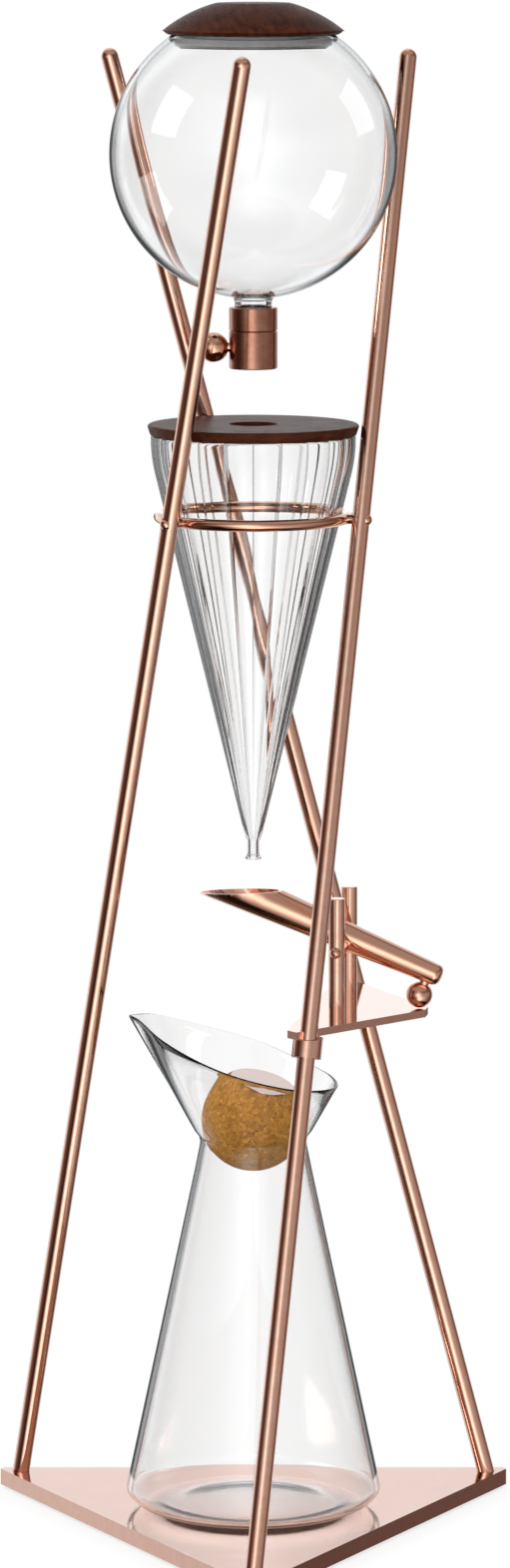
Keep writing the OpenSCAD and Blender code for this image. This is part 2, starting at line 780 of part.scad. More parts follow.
module valve_body() {
  spigot_top = flange_top - flange_t - gasket_t - metal_gap;
  funnel_h = 4;
  color(dark_copper) difference() {
    tank_frame() difference() {
      rotate_extrude() polygon([
        [0, valve_bottom], [valve_r - valve_edge, valve_bottom], [valve_r, valve_bottom + valve_edge],
        [valve_r, nut_bottom - valve_edge], [valve_r - valve_edge, nut_bottom],
        [thread_r - fit, nut_bottom], [thread_r - fit, spigot_top], [0, spigot_top]
      ]);
      translate([0, 0, valve_bottom - 1]) cylinder(d = outlet_d, h = far, $fn = small_fn);
      translate([0, 0, spigot_top - funnel_h])
        cylinder(d1 = outlet_d, d2 = tank_neck_bore - 2, h = funnel_h + eps, $fn = small_fn);
    }
    knob_frame() {
      translate([0, 0, needle_tip - needle_over]) cylinder(d = needle_d + 2 * fit, h = far, $fn = small_fn);
      translate([0, 0, knob_stem_in - fit]) cylinder(r = knob_stem_r + fit, h = far, $fn = small_fn);
      translate([0, 0, oring_x - oring_wire / 2 - fit])
        cylinder(r = knob_stem_r + oring_wire + fit, h = oring_wire + 2 * fit, $fn = small_fn);
    }
  }
}

module valve_oring() {
  color(rubber) knob_frame() translate([0, 0, oring_x]) rotate_extrude()
    translate([knob_stem_r + oring_wire / 2 + metal_gap, 0])
      circle(d = oring_wire - metal_gap, $fn = small_fn);
}

// The needle runs in the knob's stem and closes the drip outlet with its point.
module valve_needle() {
  color(dark_copper) knob_frame() {
    translate([0, 0, needle_tip])
      cylinder(d1 = needle_d / 3, d2 = needle_d, h = needle_point, $fn = small_fn);
    translate([0, 0, needle_tip + needle_point - eps])
      cylinder(d = needle_d, h = needle_len, $fn = small_fn);
  }
}

module valve_knob() {
  bore_end = needle_end + needle_travel + knob_room;
  color(copper) knob_frame() difference() {
    union() {
      translate([0, 0, knob_stem_in])
        cylinder(r = knob_stem_r, h = knob_reach - knob_stem_in, $fn = small_fn);
      translate([0, 0, knob_reach]) sphere(d = knob_d);
    }
    translate([0, 0, knob_stem_in - 1])
      cylinder(d = needle_d + 2 * fit, h = bore_end - knob_stem_in, $fn = small_fn);
  }
}

// ---------------------------------------------------------------- filter

// Outer radius of the glass at the tops of the lobes, and its crease depth, for each ring of points.
filter_rings = concat(
  [[filter_top, rim_r, 1]],
  [for (h = shoulder_down) [h, shoulder_r(h), 1]],
  [[cone_end, cone_k * cone_end, 1], [drip_start, drip_r, 0],
   [drip_end + bead_t, drip_r, 0], [drip_end + bead_t, bead_r, 0], [drip_end, bead_r, 0]]
);

module lobed_solid() {
  around = lobes * lobe_steps;
  rings = len(filter_rings);
  function lobe(a) = 1 - crease_share * (1 - abs(cos(a * lobes / 2)));
  points = [for (ring = filter_rings, j = [0:around - 1]) let (a = j * 360 / around, r = ring[1])
    spot(ring[2] == 1 ? r * lobe(a) : r, a, ring[0])];
  sides = [for (k = [0:rings - 2], j = [0:around - 1]) let (n = (j + 1) % around)
    each [[k * around + j, k * around + n, (k + 1) * around + n],
          [k * around + j, (k + 1) * around + n, (k + 1) * around + j]]];
  top = [[for (j = [around - 1:-1:0]) j]];
  bottom = [[for (j = [0:around - 1]) (rings - 1) * around + j]];
  polyhedron(points, concat(sides, top, bottom));
}

module filter_cavity() {
  thin = 1 - crease_share;
  cone_bottom = (drip_bore_r + filter_wall) / (cone_k * thin);
  rotate_extrude() polygon(concat(
    [[0, filter_top + 1], [rim_r * thin - filter_wall, filter_top + 1]],
    [for (h = shoulder_down) [shoulder_r(h) * thin - filter_wall, h]],
    [[drip_bore_r, cone_bottom], [drip_bore_r, drip_end - 1], [0, drip_end - 1]]
  ));
}

module filter_cone() {
  color(glass) translate([0, 0, filter_point]) difference() {
    lobed_solid();
    filter_cavity();
  }
}

module filter_lid() {
  edge_r = filter_lid_d / 2;
  spigot_r = rim_r * (1 - crease_share) - filter_wall - 1;
  edge = 0.6;
  color(walnut) translate([0, 0, filter_lid_z]) rotate_extrude() polygon([
    [lid_hole_d / 2, -spigot_h], [spigot_r, -spigot_h], [spigot_r, 0], [edge_r - 2 * edge, 0],
    [edge_r, filter_lid_t - edge], [edge_r - edge, filter_lid_t], [lid_hole_d / 2, filter_lid_t]
  ]);
}

// ---------------------------------------------------------------- carafe

// Half of the carafe's section, shrunk by its wall for the inside.
module carafe_section(wall, floor_h) {
  foot_r = carafe_foot_r - wall / 2;
  foot_mid = [carafe_r - wall - foot_r, floor_h + foot_r];
  tangent = foot_mid + foot_r * [cos(body_lean), sin(body_lean)];
  top = lip_h + 2 * carafe_wall;
  funnel_r = waist_r + (top - waist_h) * funnel_k - wall / cos(funnel_angle);
  polygon([
    [0, floor_h], [foot_mid[0], floor_h], tangent,
    [waist_r - wall, waist_h - waist_blend / 2], [waist_r - wall, waist_h + waist_blend / 2],
    [funnel_r, top], [0, top]
  ]);
  translate(foot_mid) circle(r = foot_r);
}

module carafe() {
  color(glass) translate([0, 0, carafe_z]) difference() {
    rotate_extrude() difference() {
      carafe_section(0, 0);
      carafe_section(carafe_wall, carafe_floor);
      translate([-far, -far / 2]) square([far, far]);
      translate([-1, lip_h + carafe_wall]) square([far, far]);
    }
    rotate([0, 0, lip_turn]) translate([lip_r, 0, lip_h]) rotate([0, -rim_slope, 0])
      translate([-rim_span / 2, 0, rim_arc_r - rim_sag]) rotate([90, 0, 0])
        cylinder(r = rim_arc_r, h = far, center = true, $fn = 8 * $fn);
  }
}

module cork_stopper() {
  color(cork) stopper_frame() difference() {
    sphere(r = cork_r);
    translate([0, 0, facet - disc_t]) cylinder(d = disc_d, h = cork_r);
  }
}

module stopper_disc() {
  color(copper) stopper_frame() translate([0, 0, facet - disc_t + metal_gap])
    cylinder(d = disc_d - 2 * fit, h = disc_t - metal_gap);
}

base_plate();
base_pad();
rod_screws();
left_rod();
front_rod();
right_rod();
support_ring();
ring_screws();
shelf_plate();
front_collar();
rear_collar();
collar_screws();
front_post();
rear_post();
post_screws();
axle_pin();
axle_cap();
tipping_tube();
pivot_sleeve();
tube_partition();
striker_ball();
tank_globe();
tank_lid();
lid_seal();
union_nut();
valve_gasket();
valve_body();
valve_needle();
valve_oring();
valve_knob();
filter_cone();
filter_lid();
carafe();
cork_stopper();
stopper_disc();
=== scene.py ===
"""Cold drip coffee tower: finishes, glass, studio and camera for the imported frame."""

import math

import bpy
import bmesh
from bpy.props import FloatProperty, FloatVectorProperty, IntProperty, PointerProperty
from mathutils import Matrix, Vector, noise


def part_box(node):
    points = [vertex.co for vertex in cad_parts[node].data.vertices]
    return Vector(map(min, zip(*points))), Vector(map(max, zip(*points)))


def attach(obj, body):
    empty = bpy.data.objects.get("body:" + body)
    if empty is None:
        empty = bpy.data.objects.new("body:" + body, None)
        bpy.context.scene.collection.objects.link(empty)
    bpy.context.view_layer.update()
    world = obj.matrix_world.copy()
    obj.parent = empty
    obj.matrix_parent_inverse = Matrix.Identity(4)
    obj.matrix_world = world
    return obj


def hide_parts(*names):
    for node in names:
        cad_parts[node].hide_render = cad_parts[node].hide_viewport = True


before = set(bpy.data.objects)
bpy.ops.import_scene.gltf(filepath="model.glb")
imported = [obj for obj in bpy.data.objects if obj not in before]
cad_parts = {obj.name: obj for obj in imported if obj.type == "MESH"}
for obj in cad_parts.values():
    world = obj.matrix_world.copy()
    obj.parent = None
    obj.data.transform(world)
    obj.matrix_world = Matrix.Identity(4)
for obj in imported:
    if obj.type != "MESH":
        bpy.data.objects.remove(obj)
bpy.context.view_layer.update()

bl_info = {
    "name": "Cold Drip Coffee Tower",
    "version": (1, 0, 0),
    "blender": (4, 5, 0),
    "location": "View3D > Sidebar > Drip Tower",
    "description": "Dresses a skewed-rod cold drip coffee tower in metal, glass, walnut and cork",
    "category": "Object",
}

MM = 0.001
PHOTO_HEIGHT = 1571  # pixels
FILTER_LOBES = 22
# Millimetres from the axis at which a turned skin closes.
AXIS = 0.001

# The nodes of the frame by finish.
BRIGHT_METAL = (
    "left_rod", "front_rod", "right_rod", "support_ring", "ring_screws",
    "front_collar", "rear_collar", "front_post", "rear_post", "axle_pin", "axle_cap",
    "tipping_tube", "pivot_sleeve", "striker_ball", "valve_knob",
)
PLATE_METAL = ("base_plate", "shelf_plate")
DISC_METAL = ("stopper_disc",)
TURNED_METAL = ("union_nut", "valve_body")
HIDDEN_METAL = ("rod_screws", "collar_screws", "post_screws", "tube_partition", "valve_needle")
CLEAR_RUBBER = ("lid_seal", "valve_gasket")
BLACK_RUBBER = ("base_pad", "valve_oring")

# Brightness of the studio round the object, by angle in degrees from the camera to the right:
# as seen a little above the horizon, and as seen well below it.
BANDS_ABOVE = (
    (-180, 1.12), (-130, 1.05), (-112, 0.28), (-98, 0.14), (-75, 0.06), (-60, 0.16), (-44, 0.40),
    (-30, 0.90), (-18, 1.55), (-8, 1.95), (2, 1.50), (12, 0.85), (28, 0.54), (42, 0.46),
    (62, 0.46), (90, 0.34), (118, 0.14), (132, 0.20), (146, 0.85), (180, 1.12),
)
BANDS_BELOW = (
    (-180, 0.95), (-130, 0.85), (-94, 0.18), (-67, 0.08), (-50, 0.03), (-40, 0.05), (-27, 0.45),
    (-16, 1.10), (-5, 1.85), (9, 1.80), (20, 1.15), (33, 0.80), (50, 0.58), (64, 0.40),
    (93, 0.20), (115, 0.06), (132, 0.25), (146, 0.85), (180, 0.95),
)


# ---------------- settings


COLOUR = dict(subtype="COLOR", size=3, min=0.0, max=1.0)


class TowerMetalSettings(bpy.types.PropertyGroup):
    """Colours and polish of the plating"""

    colour: FloatVectorProperty(
        name="Plating", description="Colour of the rose-gold plating",
        default=(0.85, 0.45, 0.30), **COLOUR)
    pale: FloatVectorProperty(
        name="Worn plating", description="Colour where hands and cloths have thinned the plating",
        default=(0.93, 0.62, 0.50), **COLOUR)
    plate_colour: FloatVectorProperty(
        name="Plate plating", description="Colour of the plating on the flat plates",
        default=(0.86, 0.50, 0.38), **COLOUR)
    disc_colour: FloatVectorProperty(
        name="Disc plating", description="Colour of the plating on the stopper's brushed disc",
        default=(0.82, 0.70, 0.66), **COLOUR)
    # Painted shade: this darker copy of the rose gold stands in for the dark surroundings that the
    # turned valve reflects.
    shaded_turned_colour: FloatVectorProperty(
        name="Turned plating", description="Colour of the plating on the turned parts",
        default=(0.36, 0.15, 0.09), **COLOUR)
    roughness: FloatProperty(
        name="Polish", description="Roughness of the polished plating", subtype="FACTOR",
        min=0.02, max=0.6, default=0.07)
    turned_roughness: FloatProperty(
        name="Turned finish", description="Roughness of the parts turned on a lathe",
        subtype="FACTOR", min=0.05, max=0.6, default=0.14)


class TowerGlassSettings(bpy.types.PropertyGroup):
    """Tint of the glass, its painted edge shade and the fineness of the filter's lobes"""

    tint: FloatVectorProperty(
        name="Glass", description="Colour of the glass seen straight on",
        default=(0.997, 0.998, 0.997), **COLOUR)
    # Painted shade: this dark colour darkens the glass where it is seen edge on, in place of the
    # dark refraction there.
    painted_edge_shade: FloatVectorProperty(
        name="Glass edge", description="Colour of the glass where it is seen edge on",
        default=(0.04, 0.042, 0.045), **COLOUR)
    lobe_steps: IntProperty(
        name="Steps a lobe", description="Facets across half a lobe of the filter", min=3, max=12,
        default=5)


class TowerWoodSettings(bpy.types.PropertyGroup):
    """Colours and grain of the walnut and the cork"""

    dark: FloatVectorProperty(
        name="Dark grain", description="Darkest line of the walnut",
        default=(0.018, 0.004, 0.002), **COLOUR)
    light: FloatVectorProperty(
        name="Light grain", description="Lightest band of the walnut",
        default=(0.080, 0.021, 0.009), **COLOUR)
    ring_width: FloatProperty(
        name="Ring width", description="Distance between two growth rings", subtype="DISTANCE",
        unit="LENGTH", min=0.001, max=0.02, default=0.004)
    cork_light: FloatVectorProperty(
        name="Cork", description="Colour of the cork's pale grains",
        default=(0.50, 0.235, 0.048), **COLOUR)
    cork_dark: FloatVectorProperty(
        name="Cork bark", description="Colour of the bark between the grains",
        default=(0.17, 0.065, 0.014), **COLOUR)
    cork_grain: FloatProperty(
        name="Cork grain", description="Size of a cork grain", subtype="DISTANCE", unit="LENGTH",
        min=0.0005, max=0.006, default=0.0018)


class TowerStudioSettings(bpy.types.PropertyGroup):
    """The camera, the lamps and the floor"""

    camera_place: FloatVectorProperty(
        name="Camera", description="Where the camera stands", subtype="XYZ", unit="LENGTH",
        size=3, default=(0.000773, -2.9347, 0.7784))
    camera_tilt: FloatProperty(
        name="Camera tilt", description="How far the camera looks down", subtype="ANGLE",
        unit="ROTATION", default=math.radians(8.34))
    focal_pixels: FloatProperty(
        name="Focal length", description="Focal length in the photograph's pixels", min=100.0,
        default=6489.0)
    key_power: FloatProperty(
        name="Key light", description="Power of the softbox on the left", unit="POWER",
        min=0.0, default=9.0)
    fill_power: FloatProperty(
        name="Fill light", description="Power of the softbox on the right", unit="POWER",
        min=0.0, default=5.0)
    front_power: FloatProperty(
        name="Front wash", description="Power of the soft light above the camera", unit="POWER",
        min=0.0, default=26.0)
    floor_colour: FloatVectorProperty(
        name="Floor", description="Colour of the paper sweep", default=(1.0, 1.0, 1.0), **COLOUR)


# ---------------- node helpers


def empty_tree(data):
    """The node tree of a material or world, switched on and cleared."""
    data.use_nodes = True
    data.node_tree.nodes.clear()
    return data.node_tree


def new_group(name, inputs, outputs):
    """A shader node group; inputs are (name, type, default or None), outputs (name, type).

    Returns its tree, the sockets that its inputs come from and those that its outputs go to.
    """
    tree = bpy.data.node_groups.new(name, "ShaderNodeTree")
    for label, kind, default in inputs:
        socket = tree.interface.new_socket(
            name=label, in_out="INPUT", socket_type=f"NodeSocket{kind}")
        if default is not None:
            socket.default_value = default
    for label, kind in outputs:
        tree.interface.new_socket(name=label, in_out="OUTPUT", socket_type=f"NodeSocket{kind}")
    return tree, tree.nodes.new("NodeGroupInput").outputs, tree.nodes.new("NodeGroupOutput").inputs


def feed(socket, value):
    """Gives an input its value: another node's output, a number, a vector or a colour."""
    if isinstance(value, bpy.types.NodeSocket):
        socket.id_data.links.new(value, socket)
    elif socket.type == "RGBA":
        socket.default_value = (*value[:3], 1.0)
    else:
        socket.default_value = value


def add(tree, kind, feeds=(), **properties):
    """A node with its properties set; feeds are (input's name or number, value) pairs."""
    node = tree.nodes.new(kind)
    for key, value in properties.items():
        setattr(node, key, value)
    for key, value in feeds:
        feed(node.inputs[key], value)
    return node


def math_node(tree, operation, *values, clamp=False):
    """A Math node on sockets or numbers. Returns its output."""
    node = add(tree, "ShaderNodeMath", enumerate(values), operation=operation, use_clamp=clamp)
    return node.outputs[0]


def times(tree, a, b, clamp=False):
    """The product of two sockets or numbers."""
    return math_node(tree, "MULTIPLY", a, b, clamp=clamp)


def rest_of(tree, value):
    """One less the value."""
    return math_node(tree, "SUBTRACT", 1.0, value)


def blend_node(tree, factor, a, b, how="MIX"):
    """A colour mix; factor, a and b are sockets or values. Returns its colour."""
    node = add(tree, "ShaderNodeMix", [(0, factor), (6, a), (7, b)], data_type="RGBA",
               blend_type=how)
    return node.outputs[2]


def ramp_node(tree, factor, stops):
    """A colour ramp; stops are (place, colour). Returns its colour."""
    node = add(tree, "ShaderNodeValToRGB", [("Fac", factor)])
    ramp = node.color_ramp
    while len(ramp.elements) < len(stops):
        ramp.elements.new(0.5)
    for element, (place, colour) in zip(ramp.elements, stops):
        element.position = place
        element.color = (*colour, 1.0)
    return node.outputs[0]


def range_node(tree, value, low, high, to_low, to_high, soft=False):
    """A Map Range from low..high to to_low..to_high, with soft ends if asked. Returns its value."""
    node = add(tree, "ShaderNodeMapRange", enumerate((value, low, high, to_low, to_high)),
               interpolation_type="SMOOTHSTEP" if soft else "LINEAR")
    return node.outputs[0]


def window(tree, value, start, full, fall, end, level=1.0):
    """Level where the value lies between full and fall, fading to 0 at start and end."""
    return times(tree, range_node(tree, value, start, full, 0.0, level),
                 range_node(tree, value, fall, end, 1.0, 0.0))


def noise_node(tree, vector, scale, detail=2.0, roughness=0.5):
    """A Noise Texture; its scale, in waves a metre, is a socket or a number. Returns the node."""
    return add(tree, "ShaderNodeTexNoise", [("Vector", vector), ("Scale", scale),
                                            ("Detail", detail), ("Roughness", roughness)])


def stretch(tree, vector, scale):
    """The vector scaled along its axes by a Mapping node. Returns its vector."""
    return add(tree, "ShaderNodeMapping", [("Vector", vector), ("Scale", scale)]).outputs[0]


def split_axes(tree, vector):
    """The X, Y and Z of a vector, as three outputs."""
    return add(tree, "ShaderNodeSeparateXYZ", [(0, vector)]).outputs


def object_coordinates(tree, turn=(0.0, 0.0, 0.0), shift=(0.0, 0.0, 0.0)):
    """Object coordinates in metres, turned and then shifted. Returns its vector."""
    coords = add(tree, "ShaderNodeTexCoord")
    mapping = add(tree, "ShaderNodeMapping", [("Vector", coords.outputs["Object"]),
                                              ("Rotation", turn), ("Location", shift)])
    return mapping.outputs[0]


# ---------------- shared effects


def smudge_group():
    """Cloth marks and finger haze on polished surfaces: two masks and a fine height."""
    tree, inputs, outputs = new_group(
        "Smudges and fine scratches",
        [("Vector", "Vector", None), ("Haze size", "Float", 45.0),
         ("Scratch size", "Float", 900.0)],
        [("Haze", "Float"), ("Scratches", "Float"), ("Height", "Float")])
    haze = noise_node(tree, inputs["Vector"], inputs["Haze size"], detail=4.0, roughness=0.6)
    drawn_out = stretch(tree, inputs["Vector"], (1.0, 1.0, 0.06))
    lines = noise_node(tree, drawn_out, inputs["Scratch size"], detail=3.0)
    feed(outputs["Haze"], range_node(tree, haze.outputs[0], 0.45, 0.75, 0.0, 1.0))
    feed(outputs["Scratches"], range_node(tree, lines.outputs[0], 0.35, 0.75, 0.0, 1.0))
    feed(outputs["Height"], lines.outputs[0])


def edge_wear_group():
    """Pale wear along convex edges, broken up by noise."""
    tree, inputs, outputs = new_group(
        "Edge wear",
        [("Vector", "Vector", None), ("Low", "Float", 0.51), ("High", "Float", 0.58)],
        [("Wear", "Float")])
    geometry = add(tree, "ShaderNodeNewGeometry")
    edges = range_node(tree, geometry.outputs["Pointiness"], inputs["Low"], inputs["High"],
                       0.0, 1.0)
    breakup = noise_node(tree, inputs["Vector"], 260.0, detail=3.0)
    patches = range_node(tree, breakup.outputs[0], 0.35, 0.65, 0.3, 1.0)
    feed(outputs["Wear"], times(tree, edges, patches, clamp=True))


def turning_group():
    """Fine lathe lines round a vertical axis: a height that rises and falls with Z."""
    tree, inputs, outputs = new_group(
        "Turning lines",
        [("Vector", "Vector", None), ("Lines a metre", "Float", 4000.0)],
        [("Height", "Float")])
    squashed = stretch(tree, inputs["Vector"], (0.02, 0.02, 1.0))
    lines = noise_node(tree, squashed, inputs["Lines a metre"])
    feed(outputs["Height"], lines.outputs[0])


def walnut_group():
    """Flat-sawn walnut: bent growth rings, streaks along the grain, and pores."""
    tree, inputs, outputs = new_group(
        "Walnut grain",
        [("Vector", "Vector", None), ("Dark", "Color", (0.03, 0.012, 0.008, 1.0)),
         ("Light", "Color", (0.11, 0.04, 0.03, 1.0)), ("Rings a metre", "Float", 250.0)],
        [("Colour", "Color"), ("Pores", "Float"), ("Height", "Float")])
    warp = noise_node(tree, inputs["Vector"], 22.0, detail=3.0)
    bent = add(tree, "ShaderNodeMix",
               [(0, 0.012), (4, inputs["Vector"]), (5, warp.outputs["Color"])],
               data_type="VECTOR").outputs[1]
    rings = add(tree, "ShaderNodeTexWave",
                [("Vector", bent), ("Scale", inputs["Rings a metre"]),
                 ("Distortion", 2.2), ("Detail", 3.0), ("Detail Scale", 0.6)],
                wave_type="BANDS", bands_direction="Y")
    pores = noise_node(tree, stretch(tree, inputs["Vector"], (90.0, 1500.0, 1500.0)), 1.0,
                       detail=4.0)
    streaks = noise_node(tree, stretch(tree, bent, (14.0, 210.0, 210.0)), 1.0,
                         detail=5.0, roughness=0.62)
    pore_mask = range_node(tree, pores.outputs[0], 0.56, 0.68, 0.0, 1.0)
    share = math_node(tree, "ADD", times(tree, rings.outputs["Fac"], 0.16),
                      range_node(tree, streaks.outputs[0], 0.32, 0.70, 0.0, 0.8), clamp=True)
    grain = blend_node(tree, share, inputs["Dark"], inputs["Light"])
    feed(outputs["Colour"],
         blend_node(tree, times(tree, pore_mask, 0.6), grain, inputs["Dark"]))
    feed(outputs["Pores"], pore_mask)
    feed(outputs["Height"], rest_of(tree, pore_mask))


def effect(tree, name, vector, **values):
    """One of the shared effects placed in a material; an underscore stands for a space."""
    node = add(tree, "ShaderNodeGroup", node_tree=bpy.data.node_groups[name])
    feed(node.inputs["Vector"], vector)
    for key, value in values.items():
        feed(node.inputs[key.replace("_", " ")], value)
    return node


# ---------------- materials


def new_material(name):
    """An empty node material, its tree and its shader."""
    material = bpy.data.materials.new(name)
    tree = empty_tree(material)
    shader = add(tree, "ShaderNodeBsdfPrincipled")
    add(tree, "ShaderNodeOutputMaterial", [("Surface", shader.outputs[0])])
    return material, tree, shader


def bump(shader, height, strength, distance):
    """Surface relief from a height socket."""
    node = add(shader.id_data, "ShaderNodeBump",
               [("Strength", strength), ("Distance", distance), ("Height", height)])
    feed(shader.inputs["Normal"], node.outputs[0])


def plated_metal(name, plating, roughness, scratch=0.04, turned=False, wear=0.5):
    """Rose-gold plating with haze, fine scratches and paler edges.

    Scratch is how much the scratches roughen it, and wear how pale the edges get.
    """
    pale = bpy.context.scene.tower_metal.pale
    haze_paling, haze_roughening = 0.12, 0.05
    material, tree, shader = new_material(name)
    vector = object_coordinates(tree)
    smudges = effect(tree, "Smudges and fine scratches", vector)
    edges = effect(tree, "Edge wear", vector)
    tone = blend_node(tree, times(tree, smudges.outputs["Haze"], haze_paling), plating, pale)
    feed(shader.inputs["Base Color"],
         blend_node(tree, times(tree, edges.outputs["Wear"], wear), tone, pale))
    shader.inputs["Metallic"].default_value = 1.0
    shader.inputs["Coat Weight"].default_value = 0.0 if turned else 0.8
    shader.inputs["Coat Roughness"].default_value = 0.04
    hazed = math_node(tree, "ADD", roughness,
                      times(tree, smudges.outputs["Haze"], haze_roughening))
    scratched = math_node(tree, "ADD", hazed, times(tree, smudges.outputs["Scratches"], scratch))
    feed(shader.inputs["Roughness"], scratched)
    if turned:
        lines = effect(tree, "Turning lines", vector)
        bump(shader, lines.outputs["Height"], strength=0.12, distance=0.2 * MM)
    else:
        bump(shader, smudges.outputs["Height"], strength=0.006, distance=0.1 * MM)
    return material


def clear_glass(name, wave=0.05, lobes=0, upright=False, edge_from=0.74):
    """Clear blown glass: a painted dark line where the wall is seen end on, and a slight waviness.

    The painted line is shade that stands in for the dark refraction at the rims; it begins where
    the facing reaches edge_from. Upright keeps level faces clear, and lobes paints the same dark
    shade along the creases between that many lobes.
    """
    settings = bpy.context.scene.tower_glass
    material, tree, shader = new_material(name)
    facing = add(tree, "ShaderNodeLayerWeight", [("Blend", 0.5)]).outputs["Facing"]
    # Painted shade: the glass colour darkens where the wall is seen edge on.
    painted_shade_mask = range_node(tree, facing, edge_from, 0.88, 0.0, 1.0, soft=True)
    vector = object_coordinates(tree)
    if upright:
        normal = split_axes(tree, add(tree, "ShaderNodeNewGeometry").outputs["Normal"])
        level = math_node(tree, "ABSOLUTE", normal[2])
        painted_shade_mask = times(tree, painted_shade_mask, range_node(tree, level, 0.25, 0.60, 1.0, 0.0))
    if lobes:
        place = split_axes(tree, vector)
        angle = math_node(tree, "ARCTAN2", place[1], place[0])
        swing = math_node(tree, "ABSOLUTE",
                          math_node(tree, "COSINE", times(tree, angle, lobes / 2)))
        # Painted shade along the filter's creases, for the dark refraction there.
        crease = range_node(tree, swing, 0.0, 0.12, 0.8, 0.0)
        painted_shade_mask = math_node(tree, "MAXIMUM", painted_shade_mask, crease)
    feed(shader.inputs["Base Color"],
         blend_node(tree, painted_shade_mask, settings.tint, settings.painted_edge_shade))
    shader.inputs["Metallic"].default_value = 0.0
    shader.inputs["Transmission Weight"].default_value = 1.0
    shader.inputs["IOR"].default_value = 1.47
    shader.inputs["Specular IOR Level"].default_value = 0.3
    ripple = noise_node(tree, vector, 38.0, detail=1.0)
    haze = noise_node(tree, vector, 120.0)
    feed(shader.inputs["Roughness"], range_node(tree, haze.outputs[0], 0.4, 0.9, 0.0, 0.012))
    bump(shader, ripple.outputs[0], strength=wave, distance=MM)
    return material


def walnut(name, shift, turn):
    """Oiled walnut with its grain along X before the turn."""
    settings = bpy.context.scene.tower_wood
    wave_share, worn_light = 0.3, 1.8
    material, tree, shader = new_material(name)
    vector = object_coordinates(tree, turn, shift)
    grain = effect(tree, "Walnut grain", vector, Dark=settings.dark, Light=settings.light,
                   Rings_a_metre=wave_share / settings.ring_width)
    edges = effect(tree, "Edge wear", vector)
    colour = blend_node(tree, times(tree, edges.outputs["Wear"], 0.3), grain.outputs["Colour"],
                        tuple(tone * worn_light for tone in settings.light))
    feed(shader.inputs["Base Color"], colour)
    feed(shader.inputs["Roughness"],
         range_node(tree, grain.outputs["Pores"], 0.0, 1.0, 0.36, 0.6))
    shader.inputs["Specular IOR Level"].default_value = 0.05
    bump(shader, grain.outputs["Height"], strength=0.25, distance=0.15 * MM)
    return material


def cork_material():
    """Pressed cork: grains of several browns, dark bark specks and small pits."""
    settings = bpy.context.scene.tower_wood
    material, tree, shader = new_material("Cork")
    vector = object_coordinates(tree)
    scale = 1.0 / settings.cork_grain
    grains = add(tree, "ShaderNodeTexVoronoi", [("Vector", vector), ("Scale", scale)])
    split = add(tree, "ShaderNodeSeparateColor", [("Color", grains.outputs["Color"])])
    brown = split.outputs[0]
    light, dark = tuple(settings.cork_light), tuple(settings.cork_dark)

    def darkened(share):
        return tuple((1 - share) * a + share * b for a, b in zip(light, dark))

    tone = ramp_node(tree, brown, [
        (0.0, darkened(0.45)), (0.35, darkened(0.15)), (0.75, light),
        (1.0, tuple(min(1.0, c * 1.25) for c in light))])
    edges = add(tree, "ShaderNodeTexVoronoi", [("Vector", vector), ("Scale", scale)],
                feature="DISTANCE_TO_EDGE")
    seam = range_node(tree, edges.outputs[0], 0.0, 0.09, 0.45, 0.0)
    specks = noise_node(tree, vector, scale * 1.6, detail=5.0)
    pits = range_node(tree, specks.outputs[0], 0.60, 0.70, 0.0, 1.0)
    feed(shader.inputs["Base Color"],
         blend_node(tree, math_node(tree, "MAXIMUM", seam, pits), tone, dark))
    shader.inputs["Roughness"].default_value = 0.85
    shader.inputs["Specular IOR Level"].default_value = 0.15
    height = math_node(tree, "SUBTRACT", brown, times(tree, pits, 1.2))
    bump(shader, height, strength=0.5, distance=0.4 * MM)
    return material


def rubber_material(name, colour, roughness):
    """Moulded rubber with a dusty bloom."""
    material, tree, shader = new_material(name)
    bloom = noise_node(tree, object_coordinates(tree), 300.0, detail=4.0).outputs[0]
    dusty = tuple(min(1.0, tone * 1.5 + 0.02) for tone in colour)
    feed(shader.inputs["Base Color"], blend_node(tree, bloom, colour, dusty))
    feed(shader.inputs["Roughness"],
         range_node(tree, bloom, 0.3, 0.7, roughness, roughness + 0.15))
    bump(shader, bloom, strength=0.1, distance=0.1 * MM)
    return material


def dress(nodes, material):
    """Gives CAD nodes a material in place of the frame's plain one."""
    for name in nodes:
        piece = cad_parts[name]
        piece.data.materials.clear()
        piece.data.materials.append(material)


# ---------------- mesh helpers


def link_to_scene(thing):
    """Puts a new object in the scene's own collection."""
    bpy.context.scene.collection.objects.link(thing)
    return thing


def new_piece(name, builder):
    """The builder's mesh as a smooth object in the scene."""
    for face in builder.faces:
        face.smooth = True
    mesh = bpy.data.meshes.new(name)
    builder.to_mesh(mesh)
    builder.free()
    return link_to_scene(bpy.data.objects.new(name, mesh))


def skin(name, rings, loop=False):
    """A smooth skin over rings of points of equal count; with loop, the last meets the first."""
    weld = 1e-7
    builder = bmesh.new()
    loops = [[builder.verts.new(point) for point in ring] for ring in rings]
    if loop:
        loops.append(loops[0])
    count = len(loops[0])
    for low, high in zip(loops, loops[1:]):
        for i in range(count):
            j = (i + 1) % count
            builder.faces.new((low[i], low[j], high[j], high[i]))
    bmesh.ops.remove_doubles(builder, verts=builder.verts, dist=weld)
    bmesh.ops.dissolve_degenerate(builder, edges=builder.edges, dist=weld)
    bmesh.ops.recalc_face_normals(builder, faces=builder.faces)
    return new_piece(name, builder)


def evenly(start, end, steps):
    """Values from start to end, both included, in equal steps."""
    return [start + (end - start) * i / steps for i in range(steps + 1)]


def bow(middle, radius, start, end, steps):
    """Points on an arc in the (radius, height) plane, angles in degrees."""
    return [(middle[0] + radius * math.cos(math.radians(angle)),
             middle[1] + radius * math.sin(math.radians(angle)))
            for angle in evenly(start, end, steps)]


